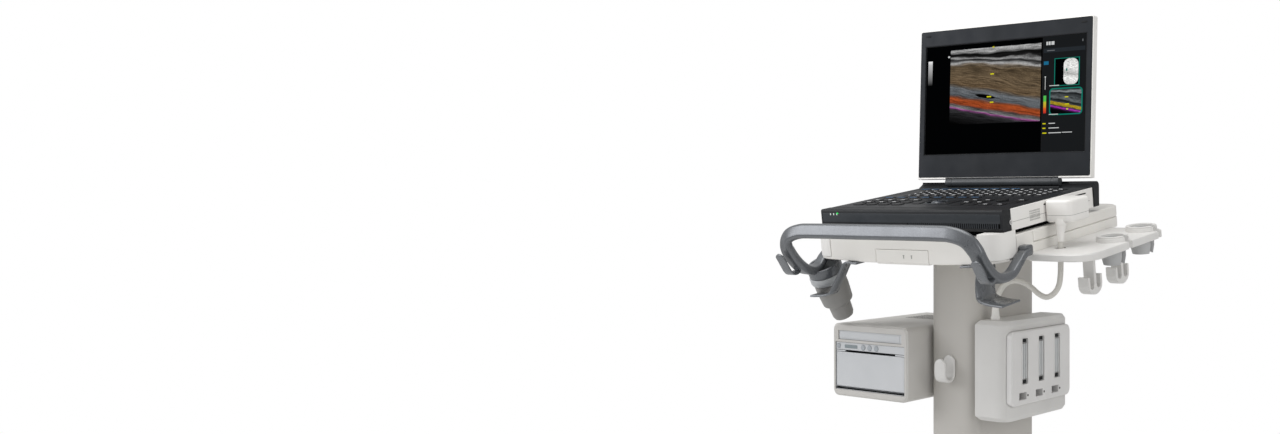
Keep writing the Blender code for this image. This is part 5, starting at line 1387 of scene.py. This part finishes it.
@dataclass
class Handle(Assembly):
    """The push handle: one bar across the front and down both sides, its holder ring, hooks and brackets."""

    tall: float = 0.024
    thick: float = 0.0135
    corner: float = 0.0055
    arm_low: float = -0.284
    tip_share: float = 0.72
    swell: float = 0.16
    ring_radius: float = 0.0300
    ring_wall: float = 0.0045
    ring_height: float = 0.017
    strip: float = 0.0035
    hook_width: float = 0.018
    hook_x: float = 0.1975
    tray_side: float = 0.1873

    def build_bar(self) -> None:
        """Carries the bar's round rectangle along its line.

        Its broad side stands up at the front and lies across on the arms."""
        right = spline_through(HANDLE_LINE, 8)
        line = np.vstack([(right * np.array([-1.0, 1.0, 1.0]))[:0:-1], right])
        ahead = along(line)
        outward = np.sign(line[:, :1] + 1e-9) * np.array([1.0, 0.0, 0.0])
        lean = np.abs(ahead[:, :1])
        upright = unit(np.array([0.0, 0.25, 1.0]))
        guide = upright * lean + outward * (1 - lean)
        tip = line[-1, 1]
        share = 1 - (1 - self.tip_share) * np.clip((line[:, 1] - self.arm_low) / (tip - self.arm_low), 0.0, None)
        # the arms swell a little between the corner and their lowest point
        share = share * (1 + self.swell * np.sin(math.pi * np.clip((line[:, 1] + 0.350) / 0.095, 0.0, 1.0)))
        section = arc_corner_outline(self.tall / 2, self.thick / 2, self.corner, 6)
        skin = Skin().swept(line, section, guide, share)
        end = HANDLE_LINE[-1]
        local = np.array([end[0], end[1] * math.cos(INCLINE) + end[2] * math.sin(INCLINE),
                          -end[1] * math.sin(INCLINE) + end[2] * math.cos(INCLINE)])
        self.add("push_handle", skin, HANDLE_PAINT, "slate_paint", ("handle_bar",), 50.0)
        pads = Skin()
        for sign in (-1, 1):
            inner, outer = self.tray_side, end[0] + 0.003
            pads.slab((sign * (inner + outer) / 2, local[1], local[2]), ((outer - inner) / 2, 0.011, 0.0085), 0.005,
                      0.0012, "x")
        self.add("handle_pads", pads, HANDLE_PAINT, "slate_paint", place=DESK_FRAME)
        r, bore, h = self.ring_radius, self.ring_radius - self.ring_wall, self.ring_height / 2
        turn = np.linspace(0.0, math.pi / 2, 5)
        e = 0.0015
        outer = np.column_stack([r - e + e * np.cos(turn), h - e + e * np.sin(turn)])
        inner = np.column_stack([bore + e - e * np.sin(turn), h - e + e * np.cos(turn)])
        upper = np.vstack([outer, inner])
        profile = np.vstack([upper, np.column_stack([upper[::-1, 0], -upper[::-1, 1]])])
        self.add("holder_ring", Skin().turned(profile, count=80, closed=True), HANDLE_PAINT, "slate_paint",
                 place=RING_FRAME)

    def build_hooks(self) -> None:
        """Hooks on the arms and brackets under the tray: thin strips carried along a bent line."""
        line = spline_through(HOOK_LINE, 8)
        section = arc_corner_outline(self.hook_width / 2, self.strip / 2, 0.0015, 4)
        for side, sign in (("left", -1), ("right", 1)):
            path = lay(sign * self.hook_x, *line.T)
            # the lip's end is rounded: the strip's width closes along a quarter circle over its last 8 mm
            gone = np.cumsum(np.r_[0.0, np.linalg.norm(np.diff(line, axis=0), axis=1)])
            left = np.clip((gone[-1] - gone) / 0.008, 0.0, 1.0)
            share = np.sqrt(np.clip(1 - (1 - left) ** 2, 0.06, 1.0))
            self.add(f"cable_hook_{side}", Skin().ribbon(path, section, share), BRACKET_PAINT, "slate_paint",
                     (f"handle_hook_{side}",), 50.0)
        for side in ("left", "right"):
            self.soften(f"strap_hook_{side}", BRACKET_PAINT, "slate_paint", 0.0008, 3, 50.0)

    def build_gel_holder(self) -> None:
        """Collar and stepped cup, turned on the ring's leaning axis."""
        r = self.ring_radius
        bore = r - self.ring_wall
        top = -self.ring_height / 2 - 0.0003
        low = top - 0.015
        wall = 0.0025
        proud = r + 0.0015
        collar = np.array([(bore - 0.0003 - wall, top + 0.0085), (bore - 0.0003, top + 0.0085), (bore - 0.0003, top),
                           (r, top), (r + 0.0008, top - 0.0006), (proud, top - 0.003), (proud, top - 0.0075),
                           (proud - 0.0004, top - 0.0078), (proud, top - 0.0081), (proud, low + 0.004),
                           (proud - 0.0008, low + 0.0018), (r - 0.002, low), (bore - 0.0003 - wall, low)])
        self.add("holder_collar", Skin().turned(collar, count=80, closed=True), CLIP_GREY, "silver_grey",
                 ("gel_collar",), 30.0, place=RING_FRAME)
        rim = low - 0.0003
        neck = bore - 0.0006 - wall
        cup = np.array([(neck - wall, rim + 0.010), (neck, rim + 0.010), (neck, rim), (0.0270, rim),
                        (0.0285, rim - 0.0015), (0.0285, rim - 0.018), (0.0283, rim - 0.0186), (0.0265, rim - 0.042),
                        (0.0260, rim - 0.043), (0.0205, rim - 0.0470), (0.0195, rim - 0.0485), (0.0185, rim - 0.069),
                        (0.0165, rim - 0.0738), (0.0002, rim - 0.0740), (0.0002, rim - 0.0700),
                        (0.0160, rim - 0.0698), (0.0170, rim - 0.047), (0.0235, rim - 0.042), (0.0258, rim - 0.018),
                        (neck - wall, rim - 0.001)])
        self.add("gel_cup_turned", Skin().turned(cup, count=80, closed=True), CUP_GREY, "silver_grey", ("gel_cup",),
                 30.0, place=RING_FRAME)

    def build(self) -> None:
        """Makes every piece of the handle."""
        self.build_bar()
        self.build_hooks()
        self.build_gel_holder()


HANDLE_LINE = np.array([
    (0.0, -0.3500, -0.0870), (0.1200, -0.3500, -0.0870), (0.1540, -0.3500, -0.0885), (0.1790, -0.3475, -0.0965),
    (0.1905, -0.3400, -0.1115), (0.1925, -0.3270, -0.1295), (0.1920, -0.3060, -0.1475), (0.1930, -0.2840, -0.1550),
    (0.1965, -0.2590, -0.1500), (0.1985, -0.2415, -0.1335), (0.1985, -0.2280, -0.1215), (0.1985, -0.2120, -0.1150)])
HOOK_LINE = np.array([
    (-0.3084, -0.1560), (-0.3152, -0.1593), (-0.3232, -0.1593), (-0.3302, -0.1547), (-0.3365, -0.1466),
    (-0.3440, -0.1366), (-0.3520, -0.1266)])


@dataclass
class Shelf(Assembly):
    """The probe shelf with its lined cups and the cable hooks under it."""

    home: Place = DESK_FRAME
    top: float = -0.0925
    rise: float = 0.008
    bore: float = 0.0185
    radius: float = 0.0265

    def build(self) -> None:
        """Makes every piece of the shelf."""
        self.soften("probe_shelf", SHELF_ABS, "white_plastic", 0.0012, 3, 30.0)
        for name in ("front", "rear"):
            self.soften(f"probe_cup_{name}", LINER_GREY, "silver_grey", 0.0005, 2, 30.0)
        # a soft lip round each cup's mouth, open where a probe's cable slides in
        lips = Skin()
        angle = np.linspace(math.radians(18), math.radians(342), 60)
        for x, y in ((0.264, -0.078), (0.262, 0.024)):
            mean = (self.bore + self.radius) / 2
            line = lay(x + mean * np.cos(angle), y + mean * np.sin(angle), self.top + self.rise + 0.0002)
            section = arc_corner_outline(0.0034, 0.0008, 0.0007, 3)
            outward = lay(np.cos(angle), np.sin(angle), 0.0)
            lips.swept(line, section, outward)
        self.add("probe_cup_lips", lips, SHELF_ABS, "white_plastic")


@dataclass
class Column(Assembly):
    """Column sleeve, its front hook, the mast inside it and the sprung lift."""

    def build(self) -> None:
        """Makes every piece of the column."""
        self.soften("column_sleeve", COLUMN_COAT, "warm_grey_paint", 0.0008, 3, 40.0)
        self.build_hook()
        self.soften("lower_mast", MAST_STEEL, "steel", 0.0006, 2, 40.0, body=Body.BASE)
        self.soften("gas_spring_rod", MAST_STEEL, "steel", 0.0003, 2, 40.0, body=Body.BASE)
        self.soften("gas_spring_cylinder", BLACK_AND_PAINTED_SHADE, "steel", 0.0004, 2, 40.0)

    def build_hook(self) -> None:
        """The front hook: a flat strip bent into a J, its lip and its root rounded off in width.

        The strip's half width follows a quarter circle over the last 11 mm before each end."""
        turn = np.linspace(0.0, -math.pi, 13)[1:]
        face = -0.049 - 0.097 - 0.0003
        thick, half, radius = 0.005, 0.0115, 0.0125
        low = -0.341 + 0.014
        bend = np.column_stack([face - 0.0025 - radius + radius * np.cos(turn), low + radius * np.sin(turn)])
        line = np.vstack([lay(face - 0.0025, np.linspace(-0.2975, low, 12)), bend,
                          lay(bend[-1, 0], np.linspace(low + 0.002, -0.3015, 8))])
        gone = np.cumsum(np.r_[0.0, np.linalg.norm(np.diff(line, axis=0), axis=1)])
        near = np.clip(np.minimum(gone, gone[-1] - gone) / 0.0115, 0.0, 1.0)
        share = np.sqrt(np.clip(1 - (1 - near) ** 2, 0.05, 1.0))
        path = lay(0.0, *line.T)
        section = arc_corner_outline(half, thick / 2, 0.0022, 5)
        self.add("column_hook_strip", Skin().ribbon(path, section, share), PORT_ABS, "white_plastic", ("column_hook",),
                 50.0)


@dataclass
class Printer(Assembly):
    """The printer in its housing on the column's left."""

    width: float = 0.1665
    height: float = 0.1260
    front: float = -0.199
    top: float = -0.2515
    x1: float = -0.0503
    wall: float = 0.0060
    unit_width: float = 0.1535
    unit_height: float = 0.0820
    strip: float = 0.0135

    def build(self) -> None:
        """Makes every piece of the printer."""
        self.soften("printer_housing", HOUSING_ABS, "warm_grey_paint", 0.0012)
        self.soften("printer_bay_panel", UNIT_SILVER, "silver_grey", 0.0006)
        self.soften("printer_unit", UNIT_SILVER, "silver_grey", 0.0004, 2)
        self.soften("printer_door", UNIT_SILVER, "silver_grey", 0.0008, body="printer_door")
        for number in (1, 2, 3):
            self.soften(f"printer_button_{number}", BUTTON_GREY, "silver_grey", 0.0003, 2,
                        body=f"printer_button_{number}")
        self.soften("printer_power_button", BUTTON_GREY, "silver_grey", 0.0003, 2, body="printer_power_button")
        middle = self.x1 - self.width / 2
        face = self.front + 0.0015
        unit_z1 = self.top - self.height + self.wall + 0.0055 + self.unit_height
        strip_z = unit_z1 - self.strip / 2
        left = middle - self.unit_width / 2
        window = Skin().slab((left + 0.0345, face, strip_z), (0.0145, 0.0004, 0.0030), 0.0012, 0.0002, "y")
        self.add("printer_window", window, PRINTER_GLASS, "glass_black")
        panel_z = unit_z1 + 0.005 + 0.0075
        ridge = Skin().slab((middle, self.front + 0.0018, panel_z), (0.0655, 0.0004, 0.0052), 0.0015, 0.0003, "y")
        self.add("bay_panel_raised_field", ridge, UNIT_SILVER, "silver_grey")
        foot_z = unit_z1 - self.unit_height
        # a near-black line of painted shade under the unit's foot
        line = Skin().bricks(np.array([(middle, face - 0.0001, foot_z + 0.0022)]),
                             np.array([(self.unit_width / 2 - 0.001, 0.0002, 0.0012)]))
        self.add("printer_foot_shadow", line, BLACK_AND_PAINTED_SHADE, "black_plastic")
        half = self.unit_width / 2
        # dark lines of painted shade in the gaps round the unit
        gap = Skin().bricks(
            np.array([(middle - half - 0.0002, face, foot_z + self.unit_height / 2),
                      (middle + half + 0.0002, face, foot_z + self.unit_height / 2),
                      (middle, face, unit_z1 + 0.0002), (middle, face, unit_z1 - self.strip + 0.0002)]),
            np.array([(0.0006, 0.0003, self.unit_height / 2), (0.0006, 0.0003, self.unit_height / 2),
                      (half, 0.0003, 0.0004), (half - 0.001, 0.0003, 0.0003)]))
        self.add("printer_unit_gap_shade", gap, BEZEL_SEAM, "black_plastic")
        # the paper slot is a near-black strip of painted shade
        slot = Skin().bricks(np.array([(middle, face + 0.0040, unit_z1 - self.strip - 0.0018)]),
                             np.array([(0.0555, 0.0004, 0.0015)]))
        self.add("paper_slot_shadow", slot, BLACK_AND_PAINTED_SHADE, "black_plastic")
        # vents on the housing's roof towards the back, as a compact printer needs: near-black marks of painted shade
        # where the slots would be
        ys = self.front + 0.150 + 0.0075 * np.arange(9)
        vents = Skin().bricks(lay(middle, ys, self.top + 0.00002), np.array([(0.040, 0.0012, 0.0001)]))
        self.add("housing_vent_shade", vents, BLACK_AND_PAINTED_SHADE, "black_plastic")


@dataclass
class PortBox(Assembly):
    """The probe connector box on the column's right: body, face plate, sockets and latches."""

    x1: float = 0.1113
    rise: float = 0.007
    first: float = -0.098
    pitch: float = 0.050
    slot: tuple[float, float] = (0.017, 0.076)
    slot_top: float = -0.2660
    latch: float = -0.3615

    def build(self) -> None:
        """Makes every piece of the box."""
        self.soften("port_box_body", PORT_ABS, "white_plastic", 0.0016, 4)
        self.soften("port_faceplate", PORT_FACE_ABS, "white_plastic", 0.0008)
        self.soften("port_sockets", SOCKET_GREY, "black_plastic", 0.0003, 2)
        for number in (1, 2, 3):
            self.soften(f"port_latch_{number}", LATCH_GREY, "silver_grey", 0.0008, body=f"port_latch_{number}")
        self.soften("cable_gland", WHITE_ABS, "white_plastic", 0.0003, 2, 50.0)
        face = self.x1 + self.rise
        mid = self.slot_top - self.slot[1] / 2
        ys = self.first + self.pitch * np.arange(3)
        frames, bars, clips = Skin(), Skin(), Skin()
        for y in ys:
            # a raised surround: a ring of rectangular section carried round the slot
            outline = arc_corner_outline(self.slot[0] / 2 + 0.0014, self.slot[1] / 2 + 0.0014, 0.0034, 4)
            inner = arc_corner_outline(self.slot[0] / 2 + 0.0001, self.slot[1] / 2 + 0.0001, 0.0022, 4)
            levels = (face - 0.0004, face + 0.0008)
            rows = np.stack([lay(x, o[:, 0] + y, o[:, 1] + mid)
                             for o, x in ((outline, levels[0]), (outline, levels[1]), (inner, levels[1]),
                                          (inner, levels[0]))])
            frames.grid(rows, closed=True)
            for dy in (-0.0050, 0.0, 0.0050):
                bars.slab((face - 0.0016, y + dy, mid), (0.0010, 0.0014, self.slot[1] / 2 - 0.009), 0.0008, 0.0003, "x")
            for dz in (-1, 1):
                clips.slab((face - 0.0024, y, mid + dz * (self.slot[1] / 2 - 0.0040)), (0.0011, 0.0058, 0.0026), 0.0008,
                           0.0003, "x")
        self.add("socket_surrounds", frames, PORT_FACE_ABS, "white_plastic")
        self.add("socket_contact_bars", bars, CONTACT_PALE, "steel")
        self.add("socket_end_clips", clips, SOCKET_BLACK, "black_plastic")
        tracks = Skin().bricks(lay(self.x1 - 0.0113, ys - 0.016 + 0.0105, self.latch),
                               np.array([(0.0003, 0.0107, 0.0057)]))
        dots = Skin()
        for y in ys:
            dots.turned(np.array([(0.0019, face - 0.0003), (0.0019, face + 0.0001), (0.0016, face + 0.0002)]),
                        (0.0, y + 0.0090, self.latch), "x", 28)
        self.add("latch_marks", dots, BLACK_AND_PAINTED_SHADE, "black_plastic")
        self.add("latch_track_shadow", tracks, BLACK_AND_PAINTED_SHADE, "black_plastic")


@dataclass
class Base(Assembly):
    """The wheeled base: chassis, cover, four swivel casters and two brake pedals."""

    radius: float = 0.050
    half_width: float = 0.015
    pivots: tuple[float, float] = (0.225, 0.235)
    centre_y: float = -0.080
    trail: float = 0.032

    def build(self) -> None:
        """Makes every piece of the base."""
        self.soften("base_chassis", BASE_COAT, "warm_grey_paint", 0.0025, 4, body=Body.BASE)
        self.soften("base_cover", BASE_COAT, "warm_grey_paint", 0.0015, 3, body=Body.BASE)
        floor = Place((HINGE[0], HINGE[1], 0.0))
        for side, sx in (("left", -1), ("right", 1)):
            for end, sy in (("front", -1), ("rear", 1)):
                name = f"{end}_{side}"
                self.soften(f"caster_fork_{name}", CLIP_GREY, "silver_grey", 0.0010, body=f"caster_fork_{name}")
                axle = (sx * self.pivots[0], self.centre_y + sy * self.pivots[1] + self.trail, self.radius)
                self.build_wheel(name, axle, floor)
            self.soften(f"brake_pedal_front_{side}", BRACKET_PAINT, "slate_paint", 0.0008,
                        body=f"brake_pedal_front_{side}")

    def build_wheel(self, name: str, axle: tuple[float, float, float], floor: Place) -> None:
        """Makes a tyre and its hub.

        The tyre's tread is a superellipse in section, and the hub has a dished web with five raised ribs.

        Args:
            name: Which caster.
            axle: The wheel's middle.
            floor: The frame.
        """
        r, w = self.radius, self.half_width
        angle = np.linspace(-math.pi / 2, math.pi / 2, 17)
        crown = np.column_stack([r - 0.010 + 0.010 * np.cos(angle) ** 0.6, w * 0.88 * np.sin(angle)])
        tyre = np.vstack([crown, [(r * 0.72, w * 0.80)], [(r * 0.66, w * 0.70)], [(r * 0.66, -w * 0.70)],
                          [(r * 0.72, -w * 0.80)]])
        self.add(f"caster_tyre_{name}", Skin().turned(tyre, axle, "x", 72, True), TYRE, "rubber",
                 (f"caster_wheel_{name}",), 40.0, place=floor, body=f"caster_wheel_{name}")
        around = np.linspace(0.0, 2 * math.pi, 80, endpoint=False)
        rib = 0.5 + 0.5 * np.tanh(6 * (np.cos(5 * around) - 0.6))
        steps = np.array([(0.0052, -w), (r * 0.24, -w), (r * 0.28, -w * 0.55), (r * 0.56, -w * 0.55),
                          (r * 0.60, -w * 0.92), (r * 0.655, -w * 0.92), (r * 0.655, w * 0.92), (r * 0.60, w * 0.92),
                          (r * 0.56, w * 0.55), (r * 0.28, w * 0.55), (r * 0.24, w), (0.0052, w)])
        ribbed = np.array([0, 0, 1, 1, 0, 0, 0, 0, 1, 1, 0, 0], float)[:, None]
        height = steps[:, 1:] * (1 + ribbed * 0.45 * rib[None])
        rows = np.stack([height, steps[:, :1] * np.cos(around), steps[:, :1] * np.sin(around)], -1)
        self.add(f"caster_hub_{name}", Skin().grid(rows + np.array(axle), closed=True), HUB_GREY, "silver_grey", (),
                 40.0, place=floor, body=f"caster_wheel_{name}")


@dataclass
class Studio:
    """Camera, soft lights, pale floor and an even white surround."""

    eye: tuple[float, float, float] = (1.222, -1.747, 1.023)
    yaw: float = 0.628
    pitch: float = 0.0139
    lens: float = 34.79
    shift: float = -0.25625
    floor_radius: float = 2.4
    aim: tuple[float, float, float] = (0.0, 0.0, 0.9)
    surround: float = 0.47

    def add_camera(self) -> None:
        """Places the camera; it has no roll and no depth of field."""
        data = bpy.data.cameras.new("studio_camera")
        data.lens = self.lens
        data.sensor_width = 36.0
        data.shift_x = self.shift
        data.clip_start = 0.05
        camera = bpy.data.objects.new("studio_camera", data)
        bpy.context.scene.collection.objects.link(camera)
        camera.location = self.eye
        camera.rotation_euler = (math.pi / 2 - self.pitch, 0.0, self.yaw)
        bpy.context.scene.camera = camera

    def add_light(self, name: str, at: tuple[float, float, float], size: float, power: float,
                  colour: str = "FFFFFF") -> None:
        """Hangs a square soft light that faces the object.

        Args:
            name: The light's name.
            at: Where it hangs.
            size: Its side.
            power: Its watts.
            colour: Its colour.
        """
        data = bpy.data.lights.new(name, "AREA")
        data.size = size
        data.energy = power
        data.color = to_linear(colour)[:3]
        light = bpy.data.objects.new(name, data)
        bpy.context.scene.collection.objects.link(light)
        light.location = at
        toward = Vector(self.aim) - Vector(at)
        light.rotation_euler = toward.to_track_quat("-Z", "Y").to_euler()

    def add_floor(self) -> None:
        """Lays a round pale floor."""
        skin = Skin().turned(np.array([(self.floor_radius, -0.01), (self.floor_radius, 0.0)]), count=96)
        mesh = bpy.data.meshes.new("studio_floor")
        mesh.from_pydata(np.vstack(skin.points).tolist(), [], np.vstack(skin.quads).tolist() + skin.caps)
        floor = bpy.data.objects.new("studio_floor", mesh)
        bpy.context.scene.collection.objects.link(floor)
        material, _, shader = blank_material("studio_floor_vinyl")
        shader.inputs["Base Color"].default_value = to_linear("EDEDEC")
        shader.inputs["Roughness"].default_value = 0.6
        mesh.materials.append(material)

    def add_surround(self) -> None:
        """Sets an even, near-white surround and the plain view transform."""
        world = bpy.data.worlds.new("studio_surround")
        world.use_nodes = True
        tree = world.node_tree
        backdrop = tree.nodes["Background"]
        backdrop.inputs["Color"].default_value = (1.0, 1.0, 1.0, 1.0)
        backdrop.inputs["Strength"].default_value = self.surround
        seen = add_node(tree, "ShaderNodeBackground", {"Color": (1.0, 1.0, 1.0, 1.0), "Strength": 1.0})
        path = add_node(tree, "ShaderNodeLightPath")
        both = add_node(tree, "ShaderNodeMixShader", None,
                        {0: path.outputs["Is Camera Ray"], 1: backdrop.outputs[0], 2: seen.outputs[0]})
        tree.links.new(both.outputs[0], tree.nodes["World Output"].inputs["Surface"])
        scene = bpy.context.scene
        scene.world = world
        scene.view_settings.view_transform = "Standard"
        scene.view_settings.look = "None"

    def build(self) -> None:
        """Sets up the whole studio."""
        self.add_camera()
        self.add_surround()
        self.add_floor()
        self.add_light("overhead_softbox", (-0.3, -0.6, 2.9), 2.0, 32.0, "FFFEFC")
        self.add_light("front_left_softbox", (-1.9, -2.0, 1.9), 1.5, 30.0, "FDFDFF")
        self.add_light("right_softbox", (2.3, -0.6, 1.5), 1.2, 11.0, "FFFEFC")


def main() -> None:
    """Loads the frame, builds the studio, then each sub-assembly in turn."""
    logging.basicConfig(level=logging.INFO, format="%(message)s")
    for thing in list(bpy.data.objects):
        bpy.data.objects.remove(thing, do_unlink=True)
    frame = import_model()
    maker = Maker(frame)
    Studio().build()
    for kind in (ProbeCable, Base, Column, Tray, Handle, Shelf, Deck, Lid, Printer, PortBox):
        kind(maker).build()
        log.info("assembly %s done", kind.__name__)


if __name__ == "__main__":
    main()
